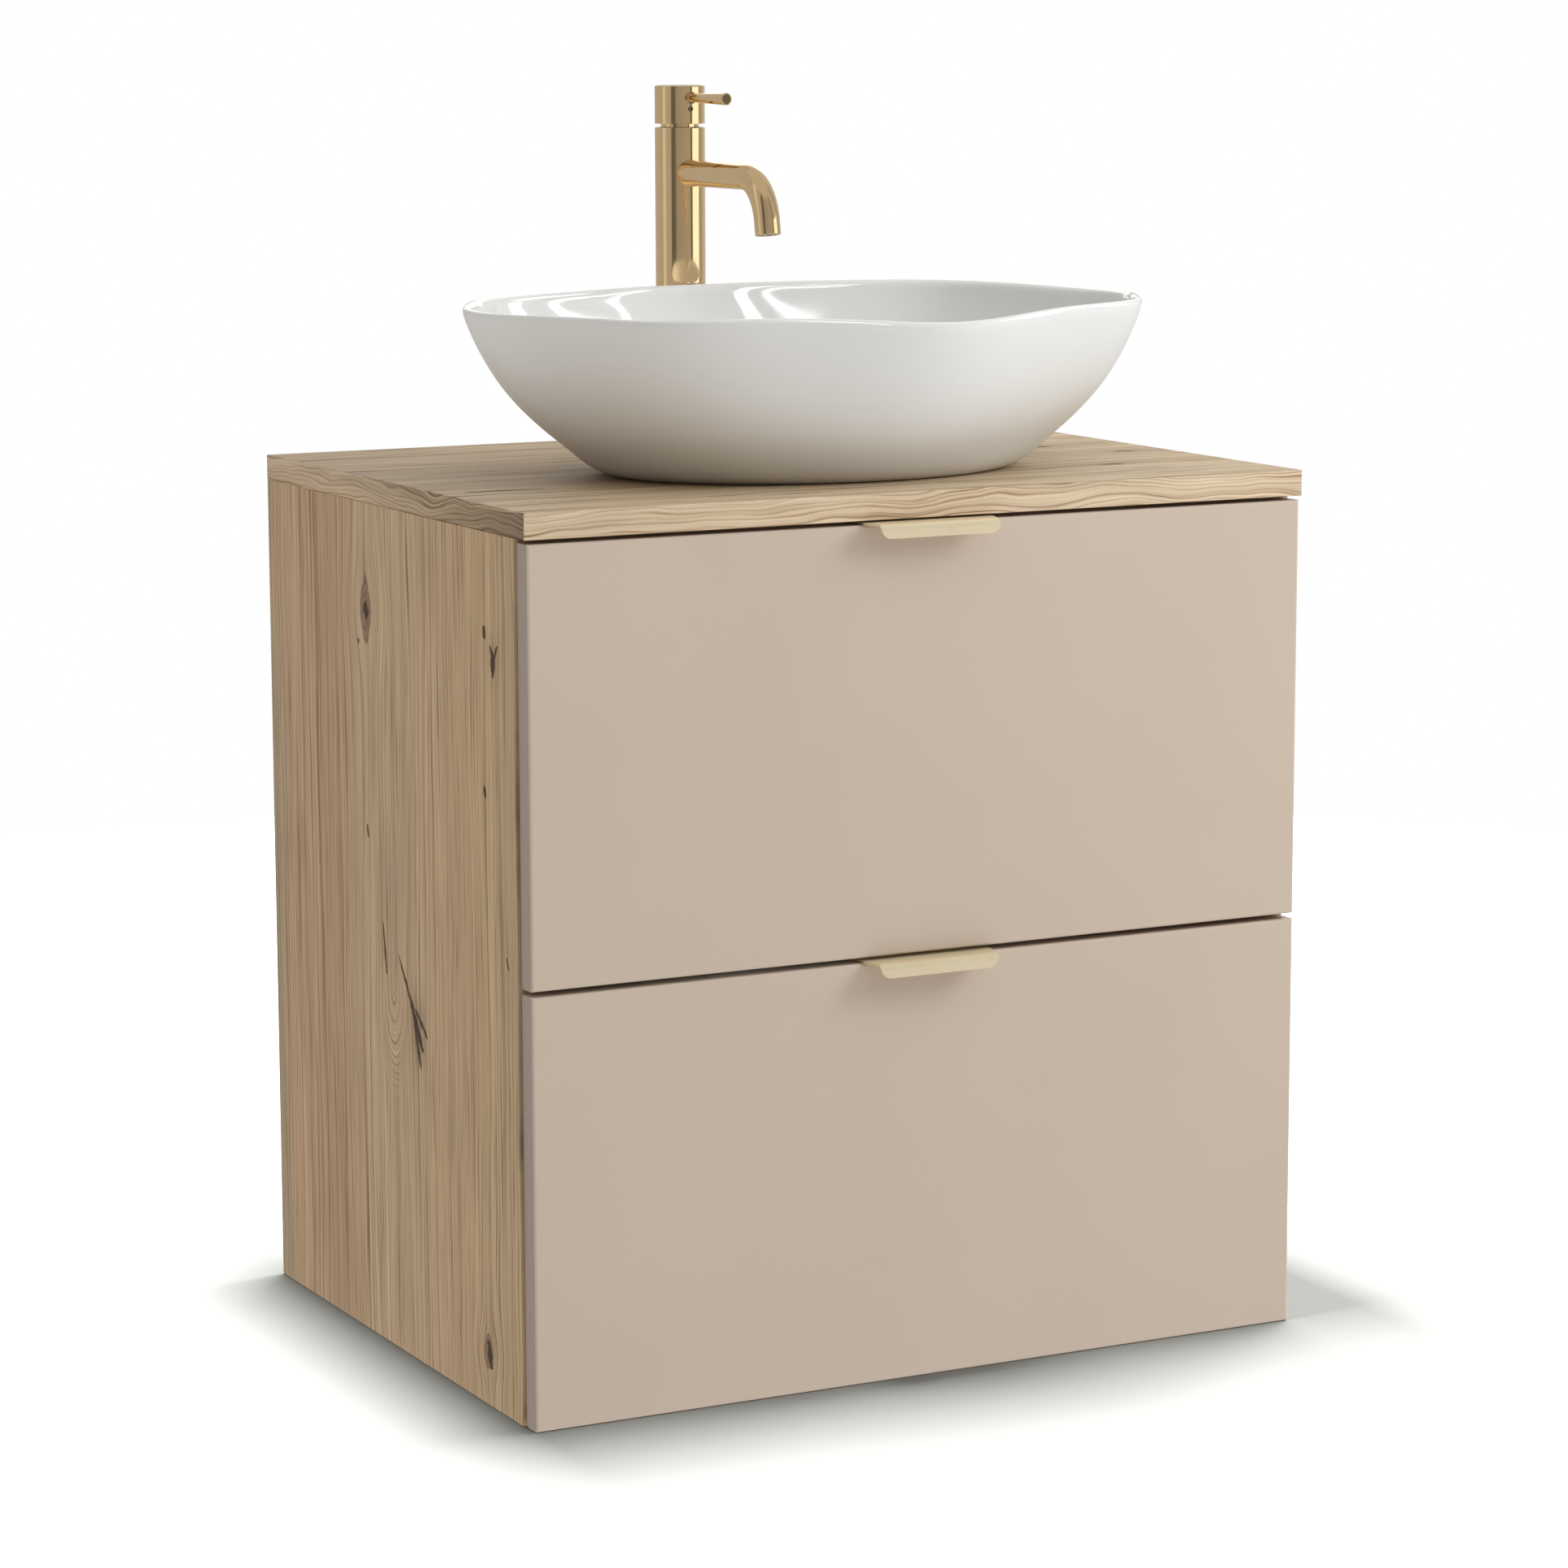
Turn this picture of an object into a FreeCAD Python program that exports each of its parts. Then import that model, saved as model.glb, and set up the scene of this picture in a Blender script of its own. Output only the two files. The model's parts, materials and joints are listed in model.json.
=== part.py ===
import FreeCAD, Part
import math
import os

# Bathroom vanity, 600 mm wide, with two drawers, an oak worktop, a vessel basin and a tall mixer tap.
# Millimetres. X to the right, Y to the back, Z up.
# The origin is under the middle of the whole object's outline, on the plane it stands on.

Vector = FreeCAD.Vector
X_AXIS = Vector(1, 0, 0)
Y_AXIS = Vector(0, 1, 0)
Z_AXIS = Vector(0, 0, 1)

# ---------------------------------------------------------------- driving dimensions

# Cabinet
WIDTH = 600.0
DEPTH = 460.0
CARCASS_H = 600.0
WORKTOP_T = 18.0
PANEL_T = 16.0
EDGING_T = 1.0
RAIL_W = 80.0
BACK_RAIL_LOW_H = 100.0
BACK_RAIL_UP_H = 84.0

# Drawer fronts
FRONT_T = 16.0
FRONT_SIDE_INSET = 2.0
FRONT_REAR_GAP = 2.0
FRONT_TOP_GAP = 3.0
FRONT_MID_GAP = 4.0
FRONT_ROUND = 1.8
FRONT_REAR_ROUND = 4.0

# Edge-pull handles
HANDLE_REACH = 18.0
HANDLE_T = 1.6
HANDLE_ROOT_W = 100.0
HANDLE_LIP_W = 92.0
HANDLE_DROP = 8.0
HANDLE_BEND_R = 5.0
HANDLE_CORNER_R = 8.0
HANDLE_LEG_H = 26.0
HANDLE_SCREW_SPAN = 64.0

# Drawer boxes
BOX_T = 15.0
BOX_BOTTOM_T = 12.0
BOX_H = 220.0
BOX_LENGTH = 400.0
UPPER_BOX_Z = 322.0
LOWER_BOX_Z = 28.0
NOTCH_HALF_W = 70.0
NOTCH_WALL_T = 12.0
NOTCH_FRONT = 112.0

# Ball-bearing runners, fixed to the side panels and to the drawer sides: half heights of the three
# members, and how far each one's flanges reach across the 12.7 mm space
RUNNER_T = 12.7
RUNNER_STEEL = 1.2
RUNNER_LENGTH = 400.0
RUNNER_FRONT = 20.0
RUNNER_ABOVE_BOX_Z = 60.0
OUTER_HALF_H = 22.5
OUTER_REACH = 9.5
MIDDLE_HALF_H = 19.2
MIDDLE_WEB = 3.2
MIDDLE_REACH = 10.4
INNER_HALF_H = 15.0
INNER_REACH = 6.4
RAIL_SCREW_Y = (60.0, 380.0)
SLIDE_SCREW_Y = (70.0, 350.0)

# Screws and cam locks
SCREW_R = 2.0
SCREW_HEAD_R = 3.6
SCREW_HEAD_H = 1.4
SCREW_L = 12.0
HOLE_GAP = 0.05
CAM_R = 7.5
CAM_DEPTH = 12.5
CAM_INSET = 34.0
BOTTOM_CAM_Y = (60.0, 400.0)
BACK_CAM_ABOVE_RAIL = 9.5
WORKTOP_SCREW_X = (-200.0, -60.0, 60.0, 200.0)
WORKTOP_SCREW_L = 28.0
WORKTOP_SCREW_HEAD_R = 4.5
WORKTOP_SCREW_HEAD_H = 2.5

# Basin
BASIN_H = 118.5
RIM_HALF_X = 256.0
RIM_HALF_Y = 178.5
FOOT_HALF_X = 143.0
FOOT_HALF_Y = 103.5
BASIN_WALL = 9.0
BASIN_FLOOR = 14.0
LOBES = 8
LOBE_ANGLE = math.radians(3.5)
LOBE_SHARE = 0.018
RIM_WAVE = -0.5
RIM_TILT = 2.2
# swells of the hand-formed rim: direction and spread in degrees, then how far out and up
RIM_SWELLS = [(10.0, 20.0, 0.0, -2.0), (50.0, 16.0, 0.0, 1.5), (120.0, 14.0, 0.0, -1.5), (170.0, 18.0, 2.0, 0.5),
              (240.0, 12.0, 0.0, 1.0), (275.0, 14.0, 0.0, -4.0), (312.0, 16.0, -2.0, 2.0),
              (335.0, 14.0, -2.0, 0.0)]
BASIN_Y = 174.0
RING_POLES = 48

# Waste and trap
DRAIN_HOLE_R = 22.5
WASTE_R = 20.9
WASTE_BORE_R = 17.5
WASTE_FLANGE_R = 31.5
WASTE_FLANGE_T = 2.5
WASTE_BOTTOM = 556.0
WASTE_HOLE_R = 24.0
WASTE_NUT_R = 30.0
WASTE_NUT_BOTTOM = 587.0
SEAL_T = 3.0
GUIDE_BOTTOM = 598.0
GUIDE_TOP = 606.0
PLUG_STEM_BOTTOM = 588.0
PLUG_STEM_R = 3.0
PIPE_R = 16.0
PIPE_BORE_R = 14.5
PIPE_TOP = 555.5
INLET_NUT_R = 26.0
INLET_NUT_BOTTOM = 548.0
INLET_NUT_TOP = 568.0
TRAP_R = 34.0
TRAP_WALL = 2.6
TRAP_OUTLET_Z = 488.0
TRAP_JOINT_Z = 462.0
TRAP_HEAD_TOP = 528.0
TRAP_CUP_H = 44.0
STUB_R = 20.0
STUB_L = 24.0
OUTLET_FREE_END = 60.0

# Tap
TAP_Y = 382.0
TAP_R = 18.5
TAP_BODY_TOP = 853.4
CAP_BOTTOM = 856.0
CAP_TOP = 884.0
CARTRIDGE_R = 15.0
CARTRIDGE_SEAT = 831.0
COLLAR_STUB_R = 8.0
COLLAR_STUB_BOTTOM = 841.5
SPINDLE_HALF = 3.5
PIN_R = 2.0
WATERWAY_R = 8.0
WATERWAY_BOTTOM = 700.0
SET_SCREW_Z = 867.0
SPOUT_Z = 820.0
SPOUT_R = 9.3
SPOUT_BORE_R = 7.0
SPOUT_ROOT_R = 10.0
SPOUT_LEVEL_END = 276.0
SPOUT_BEND_R = 36.0
SPOUT_TURN = math.radians(80.0)
SPOUT_TIP_L = 10.4
AERATOR_R = 7.9
LEVER_Z = 875.0
LEVER_END = 304.0
LEVER_ROOT_R = 3.0
LEVER_TIP_R = 4.5
PIVOT_Z = 857.5
LIFT_ANGLE = 18.0
SHANK_R = 16.5
SHANK_BORE_R = 13.5
TAP_HOLE_R = 17.5
INLET_R = 4.3
INLET_DEPTH = 12.0
INLET_OFFSET = 6.5
SHANK_TOP = 640.0
SHANK_BOTTOM = 562.0
FIXING_NUT_BOTTOM = 586.0

# Wall hangers
HANGER_T = 2.0
HANGER_W = 44.0
HANGER_H = 60.0
HANGER_REACH = 50.0
HANGER_HOLE_R = 5.0
HANGER_HOLE_X = 258.0
HANGER_Z = 536.0
HANGER_SCREW_Y = 425.0

# ---------------------------------------------------------------- places worked out from them

# Depths are measured back from the cabinet's front face, and save() moves each node to the origin.
FRONT_Y = HANDLE_REACH - (DEPTH + HANDLE_REACH) / 2
HALF_W = WIDTH / 2
TOP_Z = CARCASS_H + WORKTOP_T
CARCASS_Y = FRONT_T + FRONT_REAR_GAP
INNER_X = HALF_W - PANEL_T
BACK_RAIL_Y = DEPTH - PANEL_T
BACK_RAIL_UP_Z = CARCASS_H - BACK_RAIL_UP_H
FRONT_H = (CARCASS_H - FRONT_TOP_GAP - FRONT_MID_GAP) / 2
UPPER_FRONT_Z = FRONT_H + FRONT_MID_GAP
FRONT_HALF_W = HALF_W - FRONT_SIDE_INSET
BOX_X = INNER_X - RUNNER_T
BOX_IN_X = BOX_X - BOX_T
BOX_Y = FRONT_T
BOX_END = BOX_Y + BOX_LENGTH
WORKTOP_SCREW_Y = CARCASS_Y + RAIL_W / 2
HANDLE_SCREW_X = (-HANDLE_SCREW_SPAN / 2, HANDLE_SCREW_SPAN / 2)
FLOOR_Z = TOP_Z + BASIN_FLOOR
SEAT_Z = FLOOR_Z - 2.0
FLANGE_TOP = FLOOR_Z + 2.0
TAP_BASE_TOP = TOP_Z + 4.0

os.makedirs("parts", exist_ok=True)


def save(name, *solids):
    """Write one node, moved from the cabinet's front-face frame to the object's origin."""
    shape = solids[0] if len(solids) == 1 else Part.makeCompound(list(solids))
    shape = shape.copy()
    shape.translate(Vector(0, FRONT_Y, 0))
    shape.exportStep("parts/" + name + ".step")
    volume = sum(solid.Volume for solid in shape.Solids)
    print(f"{name:26s} solids {len(shape.Solids):2d} valid {shape.isValid()} volume {volume:12.1f}")


def block(x0, x1, y0, y1, z0, z1):
    return Part.makeBox(x1 - x0, y1 - y0, z1 - z0, Vector(x0, y0, z0))


def rod(radius, start, end):
    """A round bar from start to end."""
    line = Vector(*end) - Vector(*start)
    return Part.makeCylinder(radius, line.Length, Vector(*start), line)


def tube(outer, inner, start, end):
    return rod(outer, start, end).cut(rod(inner, start, end))


def mirror_x(shape):
    return shape.mirror(Vector(0, 0, 0), X_AXIS)


def on_side(side, shape):
    """A shape drawn for the right side (side 1), or its mirror image (side -1)."""
    return shape if side > 0 else mirror_x(shape)


def cut_all(shape, tools):
    for tool in tools:
        shape = shape.cut(tool)
    return shape


def round_edges(shape, radius, wanted):
    return shape.makeFillet(radius, [edge for edge in shape.Edges if wanted(edge)])


def turned(points, y):
    """A solid of revolution about the upright line at x = 0 and this depth, from (radius, z) points."""
    corners = [Vector(radius, y, z) for radius, z in points]
    outline = Part.makePolygon(corners + [corners[0]])
    return Part.Face(outline).revolve(Vector(0, y, 0), Z_AXIS, 360)


def hexagon(across_flats, y, z0, z1):
    corner_r = across_flats / math.sqrt(3)
    angles = [math.radians(60 * k) for k in range(7)]
    corners = [Vector(corner_r * math.cos(angle), y + corner_r * math.sin(angle), z0) for angle in angles]
    return Part.Face(Part.makePolygon(corners)).extrude(Vector(0, 0, z1 - z0))


# ---------------------------------------------------------------- fasteners

def screw(head_at, direction, length=SCREW_L, radius=SCREW_R, head_r=SCREW_HEAD_R, head_h=SCREW_HEAD_H):
    """A pan-head screw whose head's underside is at head_at, pointing along direction, with a cross slot."""
    seat = Vector(*head_at)
    way = Vector(*direction)
    head = Part.makeCylinder(head_r, head_h, seat - way * head_h, way)
    side = way.cross(Z_AXIS) if abs(way.z) < 0.5 else way.cross(X_AXIS)
    other = way.cross(side)
    depth = head_h * 0.5
    for across, along in ((side, other), (other, side)):
        corner = seat - way * head_h - across * head_r * 0.6 - along * head_r * 0.1
        points = [corner, corner + across * head_r * 1.2,
                  corner + across * head_r * 1.2 + along * head_r * 0.2, corner + along * head_r * 0.2]
        slot = Part.Face(Part.makePolygon(points + [corner])).extrude(way * depth)
        head = head.cut(slot)
    return head.fuse(Part.makeCylinder(radius, length, seat, way)).removeSplitter()


def screw_hole(head_at, direction, length=SCREW_L, radius=SCREW_R):
    return Part.makeCylinder(radius + HOLE_GAP, length + 0.5, Vector(*head_at), Vector(*direction))


def runner_screw_seats(box_z):
    """Where the cabinet members' screws sit: on the web's inner face, on the right side."""
    z = box_z + RUNNER_ABOVE_BOX_Z
    return [(INNER_X - RUNNER_STEEL, y, z) for y in RAIL_SCREW_Y]


def slide_screw_seats(box_z):
    """Where the drawer members' screws sit, on the right side."""
    z = box_z + RUNNER_ABOVE_BOX_Z
    return [(BOX_X + RUNNER_STEEL, y, z) for y in SLIDE_SCREW_Y]


HANGER_SCREW_SEATS = [(INNER_X - HANGER_T, HANGER_SCREW_Y, HANGER_Z + dz) for dz in (15.0, 45.0)]


def cam_seats():
    """Each cam lock's mouth and the way it is let in."""
    low_z = PANEL_T + BACK_RAIL_LOW_H / 2
    up_z = BACK_RAIL_UP_Z + BACK_CAM_ABOVE_RAIL
    seats = []
    for x in (CAM_INSET - INNER_X, INNER_X - CAM_INSET):
        seats.append(("front_rail", (x, WORKTOP_SCREW_Y, CARCASS_H - PANEL_T), (0, 0, 1)))
        seats.append(("back_rail_upper", (x, BACK_RAIL_Y, up_z), (0, 1, 0)))
        seats.append(("back_rail_lower", (x, BACK_RAIL_Y, low_z), (0, 1, 0)))
        seats += [("bottom_panel", (x, y, PANEL_T), (0, 0, -1)) for y in BOTTOM_CAM_Y]
    return seats


def cam_holes(panel):
    return [Part.makeCylinder(CAM_R + HOLE_GAP, CAM_DEPTH, Vector(*seat), Vector(*way))
            for name, seat, way in cam_seats() if name == panel]


def cam_lock(seat, way):
    """A zinc cam: a disc with a driver slot across its face."""
    face = Vector(*seat)
    inward = Vector(*way)
    disc = Part.makeCylinder(CAM_R, CAM_DEPTH - 0.5, face, inward)
    slot = block(-CAM_R * 0.7, CAM_R * 0.7, -0.8, 0.8, 0, 2.0)
    slot.Placement = FreeCAD.Placement(face, FreeCAD.Rotation(Z_AXIS, inward))
    return disc.cut(slot)


# ---------------------------------------------------------------- cabinet

def side_panel(side):
    panel = block(INNER_X, HALF_W, CARCASS_Y, DEPTH, 0, CARCASS_H)
    seats = runner_screw_seats(UPPER_BOX_Z) + runner_screw_seats(LOWER_BOX_Z) + HANGER_SCREW_SEATS
    panel = cut_all(panel, [screw_hole(seat, (1, 0, 0)) for seat in seats])
    return on_side(side, panel)


def bottom_panel():
    panel = block(-INNER_X, INNER_X, CARCASS_Y, DEPTH, 0, PANEL_T)
    return cut_all(panel, cam_holes("bottom_panel"))


def front_rail():
    rail = block(-INNER_X, INNER_X, CARCASS_Y, CARCASS_Y + RAIL_W, CARCASS_H - PANEL_T, CARCASS_H)
    holes = [rod(SCREW_R + 0.35, (x, WORKTOP_SCREW_Y, CARCASS_H - PANEL_T), (x, WORKTOP_SCREW_Y, CARCASS_H))
             for x in WORKTOP_SCREW_X]
    return cut_all(rail, holes + cam_holes("front_rail"))


def back_rail_lower():
    rail = block(-INNER_X, INNER_X, BACK_RAIL_Y, DEPTH, PANEL_T, PANEL_T + BACK_RAIL_LOW_H)
    return cut_all(rail, cam_holes("back_rail_lower"))


def back_rail_upper():
    """A full-width rail whose top corners are cut away for the wall hangers."""
    rail = block(-INNER_X, INNER_X, BACK_RAIL_Y, DEPTH, BACK_RAIL_UP_Z, CARCASS_H)
    notch_x = INNER_X - HANGER_W - 2.0
    notch_z = HANGER_Z - 1.0
    notch = block(notch_x, INNER_X, BACK_RAIL_Y, DEPTH, notch_z, CARCASS_H)
    return cut_all(rail, [notch, mirror_x(notch)] + cam_holes("back_rail_upper"))


def worktop():
    top = block(-HALF_W + EDGING_T, HALF_W - EDGING_T, EDGING_T, DEPTH, CARCASS_H, TOP_Z)
    pilot = WORKTOP_SCREW_L - PANEL_T + 0.5
    holes = [Part.makeCylinder(SCREW_R + HOLE_GAP, pilot, Vector(x, WORKTOP_SCREW_Y, CARCASS_H))
             for x in WORKTOP_SCREW_X]
    holes.append(rod(WASTE_HOLE_R, (0, BASIN_Y, CARCASS_H), (0, BASIN_Y, TOP_Z)))
    holes.append(rod(TAP_HOLE_R, (0, TAP_Y, CARCASS_H), (0, TAP_Y, TOP_Z)))
    return cut_all(top, holes)


def worktop_edging():
    front = block(-HALF_W, HALF_W, 0, EDGING_T, CARCASS_H, TOP_Z)
    right = block(HALF_W - EDGING_T, HALF_W, EDGING_T, DEPTH, CARCASS_H, TOP_Z)
    return front, right, mirror_x(right)


def hanger(side):
    """An angle bracket: one leg screwed to the side panel, one leg in the back plane with a hanging hole."""
    top = HANGER_Z + HANGER_H
    leg = block(INNER_X - HANGER_T, INNER_X, DEPTH - HANGER_REACH, DEPTH, HANGER_Z, top)
    back = block(INNER_X - HANGER_W, INNER_X, DEPTH - HANGER_T, DEPTH, HANGER_Z, top)
    bracket = leg.fuse(back).removeSplitter()
    middle = HANGER_Z + HANGER_H / 2
    holes = [rod(HANGER_HOLE_R, (HANGER_HOLE_X, DEPTH - 10, middle), (HANGER_HOLE_X, DEPTH + 1, middle))]
    holes += [rod(SCREW_R + HOLE_GAP, (x - 1, y, z), (x + HANGER_T + 1, y, z))
              for x, y, z in HANGER_SCREW_SEATS]
    return on_side(side, cut_all(bracket, holes))


def panel_screws():
    seats = HANGER_SCREW_SEATS + runner_screw_seats(UPPER_BOX_Z) + runner_screw_seats(LOWER_BOX_Z)
    screws = [screw(seat, (1, 0, 0)) for seat in seats]
    return screws + [mirror_x(one) for one in screws]


def worktop_screws():
    z = CARCASS_H - PANEL_T
    return [screw((x, WORKTOP_SCREW_Y, z), (0, 0, 1), WORKTOP_SCREW_L, SCREW_R, WORKTOP_SCREW_HEAD_R,
                  WORKTOP_SCREW_HEAD_H) for x in WORKTOP_SCREW_X]


# ---------------------------------------------------------------- runners

def channel(half_h, web_x, lip_x, y0, y1, z):
    """A steel channel along Y: an upright web at web_x and two flanges that reach to lip_x."""
    web_end = web_x + math.copysign(RUNNER_STEEL, lip_x - web_x)
    x0, x1 = sorted((web_x, web_end))
    f0, f1 = sorted((web_x, lip_x))
    web = block(x0, x1, y0, y1, z - half_h, z + half_h)
    lower = block(f0, f1, y0, y1, z - half_h, z - half_h + RUNNER_STEEL)
    upper = block(f0, f1, y0, y1, z + half_h - RUNNER_STEEL, z + half_h)
    return web.fuse(lower).fuse(upper).removeSplitter()


def both_sides(shape):
    return shape, mirror_x(shape)


def runner_rails(box_z):
    """The members fixed to the side panels."""
    z = box_z + RUNNER_ABOVE_BOX_Z
    end = RUNNER_FRONT + RUNNER_LENGTH
    rail = channel(OUTER_HALF_H, INNER_X, INNER_X - OUTER_REACH, RUNNER_FRONT, end, z)
    holes = [screw_hole((x - 1, y, seat_z), (1, 0, 0)) for x, y, seat_z in runner_screw_seats(box_z)]
    return both_sides(cut_all(rail, holes))


def runner_middles(box_z):
    """The middle members, which travel half as far as the drawer."""
    z = box_z + RUNNER_ABOVE_BOX_Z
    start = RUNNER_FRONT + 2.0
    end = RUNNER_FRONT + RUNNER_LENGTH - 2.0
    return both_sides(channel(MIDDLE_HALF_H, INNER_X - MIDDLE_WEB, INNER_X - MIDDLE_REACH, start, end, z))


def runner_slides(box_z):
    """The members fixed to the drawer sides."""
    z = box_z + RUNNER_ABOVE_BOX_Z
    slide = channel(INNER_HALF_H, BOX_X, BOX_X + INNER_REACH, BOX_Y + 2.0, BOX_END, z)
    holes = [screw_hole((x + 1, y, seat_z), (-1, 0, 0)) for x, y, seat_z in slide_screw_seats(box_z)]
    return both_sides(cut_all(slide, holes))


# ---------------------------------------------------------------- drawers

def drawer_front(z):
    """A painted panel with softened front edges and a larger round along its lower rear edge."""
    panel = block(-FRONT_HALF_W, FRONT_HALF_W, 0, FRONT_T, z, z + FRONT_H)
    panel = round_edges(panel, FRONT_ROUND, lambda edge: abs(edge.BoundBox.YMax) < 1e-6)

    def lower_rear(edge):
        box = edge.BoundBox
        return box.YMin > FRONT_T - 1e-6 and box.ZMax < z + 1e-6

    panel = round_edges(panel, FRONT_REAR_ROUND, lower_rear)
    seats = handle_screw_seats(z)
    return cut_all(panel, [screw_hole(seat, (0, -1, 0)) for seat in seats])


def handle_screw_seats(z):
    """Where the handle's screws sit, on the back of its rear leg."""
    top = z + FRONT_H
    return [(x, FRONT_T + HANDLE_T, top - HANDLE_LEG_H + 7.0) for x in HANDLE_SCREW_X]


def handle(z):
    """An edge pull bent from sheet: leg behind the front, flange over its top edge, lip in front."""
    top = z + FRONT_H
    skin = top + HANDLE_T
    reach = -HANDLE_REACH
    bend = HANDLE_BEND_R
    low = top - HANDLE_DROP
    middle = math.sqrt(0.5)
    back = FRONT_T + HANDLE_T
    leg_end = top - HANDLE_LEG_H
    outer = [Part.LineSegment(Vector(0, back, leg_end), Vector(0, back, skin)),
             Part.LineSegment(Vector(0, back, skin), Vector(0, reach + bend, skin)),
             Part.Arc(Vector(0, reach + bend, skin),
                      Vector(0, reach + bend * (1 - middle), skin - bend * (1 - middle)),
                      Vector(0, reach, skin - bend)),
             Part.LineSegment(Vector(0, reach, skin - bend), Vector(0, reach, low))]
    inner_r = bend - HANDLE_T
    inner_y = reach + HANDLE_T
    inner = [Part.LineSegment(Vector(0, reach, low), Vector(0, inner_y, low)),
             Part.LineSegment(Vector(0, inner_y, low), Vector(0, inner_y, skin - bend)),
             Part.Arc(Vector(0, inner_y, skin - bend),
                      Vector(0, inner_y + inner_r * (1 - middle), top - inner_r * (1 - middle)),
                      Vector(0, reach + bend, top)),
             Part.LineSegment(Vector(0, reach + bend, top), Vector(0, FRONT_T, top)),
             Part.LineSegment(Vector(0, FRONT_T, top), Vector(0, FRONT_T, leg_end)),
             Part.LineSegment(Vector(0, FRONT_T, leg_end), Vector(0, back, leg_end))]
    wire = Part.Wire([segment.toShape() for segment in outer + inner])
    half = HANDLE_ROOT_W / 2
    pull = Part.Face(wire).extrude(Vector(HANDLE_ROOT_W, 0, 0))
    pull.translate(Vector(-half, 0, 0))
    taper = (HANDLE_ROOT_W - HANDLE_LIP_W) / 2
    plan = [(half, 0), (half - taper, reach + bend), (half - taper, reach - 1),
            (half + 1, reach - 1), (half + 1, 0)]
    corners = [Vector(x, y, leg_end) for x, y in plan]
    wedge = Part.Face(Part.makePolygon(corners + [corners[0]])).extrude(Vector(0, 0, HANDLE_LEG_H + bend))
    corner_x = half - taper - HANDLE_CORNER_R
    corner_z = low + HANDLE_CORNER_R
    corner = block(corner_x, half + 1, reach - 1, -1, low - 1, corner_z)
    corner = corner.cut(rod(HANDLE_CORNER_R, (corner_x, reach - 2, corner_z), (corner_x, 0, corner_z)))
    pull = cut_all(pull, [wedge, mirror_x(wedge), corner, mirror_x(corner)])
    holes = [rod(SCREW_R + HOLE_GAP, (x, y + 1, seat_z), (x, y - 3, seat_z))
             for x, y, seat_z in handle_screw_seats(z)]
    return cut_all(pull, holes)


def box_side(side, box_z):
    panel = block(BOX_IN_X, BOX_X, BOX_Y, BOX_END, box_z, box_z + BOX_H)
    holes = [screw_hole(seat, (-1, 0, 0), SCREW_L - 1) for seat in slide_screw_seats(box_z)]
    return on_side(side, cut_all(panel, holes))


def box_floor_top(box_z):
    return box_z + 2.0 + BOX_BOTTOM_T


def box_bottom(box_z):
    return block(-BOX_IN_X, BOX_IN_X, BOX_Y, BOX_END, box_z + 2.0, box_floor_top(box_z))


def notched_bottom(box_z):
    notch = block(-NOTCH_HALF_W, NOTCH_HALF_W, NOTCH_FRONT, BOX_END, box_z, box_z + 40)
    return box_bottom(box_z).cut(notch)


def box_wall(x0, x1, y0, y1, box_z):
    return block(x0, x1, y0, y1, box_floor_top(box_z), box_z + BOX_H)


def drawer_screws(front_z, box_z):
    screws = [screw(seat, (0, -1, 0)) for seat in handle_screw_seats(front_z)]
    for seat in slide_screw_seats(box_z):
        one = screw(seat, (-1, 0, 0), SCREW_L - 1)
        screws += [one, mirror_x(one)]
    return screws


# ---------------------------------------------------------------- basin

def rim_swell(angle):
    """How far the rim's swells move it out and up in one direction."""
    outward = 0.0
    upward = 0.0
    for direction, spread, out, up in RIM_SWELLS:
        off = (math.degrees(angle) - direction + 180) % 360 - 180
        part = math.exp(-(off / spread) ** 2)
        outward += out * part
        upward += up * part
    return outward, upward


def basin_ring(half_x, half_y, height, share):
    """One ring of control points: an ellipse with its share of the rim's lobes, wave, tilt and swells."""
    ring = []
    for k in range(RING_POLES):
        angle = 2 * math.pi * k / RING_POLES
        lobe = math.cos(LOBES * (angle - LOBE_ANGLE))
        swell = 1 + share * LOBE_SHARE * lobe
        outward, upward = rim_swell(angle)
        lift = share * (RIM_WAVE * lobe + RIM_TILT * math.sin(angle) + upward)
        x = (half_x * swell + share * outward) * math.cos(angle)
        y = (half_y * swell + share * outward) * math.sin(angle)
        ring.append(Vector(x, BASIN_Y + y, TOP_Z + height + lift))
    return ring


def basin_profile():
    """Control rings from the foot's rim, up the outside, over the lip and down to the inner floor.

    Each entry is half width, half depth, height and share of the rim's lobes, wave, tilt and swells.
    """
    wall = BASIN_WALL
    spread_x = RIM_HALF_X - FOOT_HALF_X
    spread_y = RIM_HALF_Y - FOOT_HALF_Y

    def outside(part, height, share):
        return FOOT_HALF_X + spread_x * part, FOOT_HALF_Y + spread_y * part, height, share

    def inside(part, height, share):
        half_x, half_y, height, share = outside(part, height, share)
        return half_x - wall, half_y - wall, height, share

    return [outside(0.0, 0.0, 0.0),
            outside(0.15, 2.0, 0.05),
            outside(0.30, 17.0, 0.15),
            outside(0.52, 35.0, 0.35),
            outside(0.765, 62.0, 0.6),
            outside(0.923, 92.0, 0.85),
            outside(1.0, BASIN_H - 6.0, 1.0),
            outside(1.012, BASIN_H + 1.4, 1.0),
            inside(1.012, BASIN_H + 1.4, 1.0),
            inside(0.985, BASIN_H - 8.0, 1.0),
            inside(0.88, 90.0, 0.85),
            inside(0.71, 62.0, 0.6),
            inside(0.50, 38.0, 0.35),
            inside(0.24, 21.0, 0.1),
            inside(-0.12, BASIN_FLOOR + 2.0, 0.0),
            inside(-0.45, BASIN_FLOOR, 0.0)]


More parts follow.
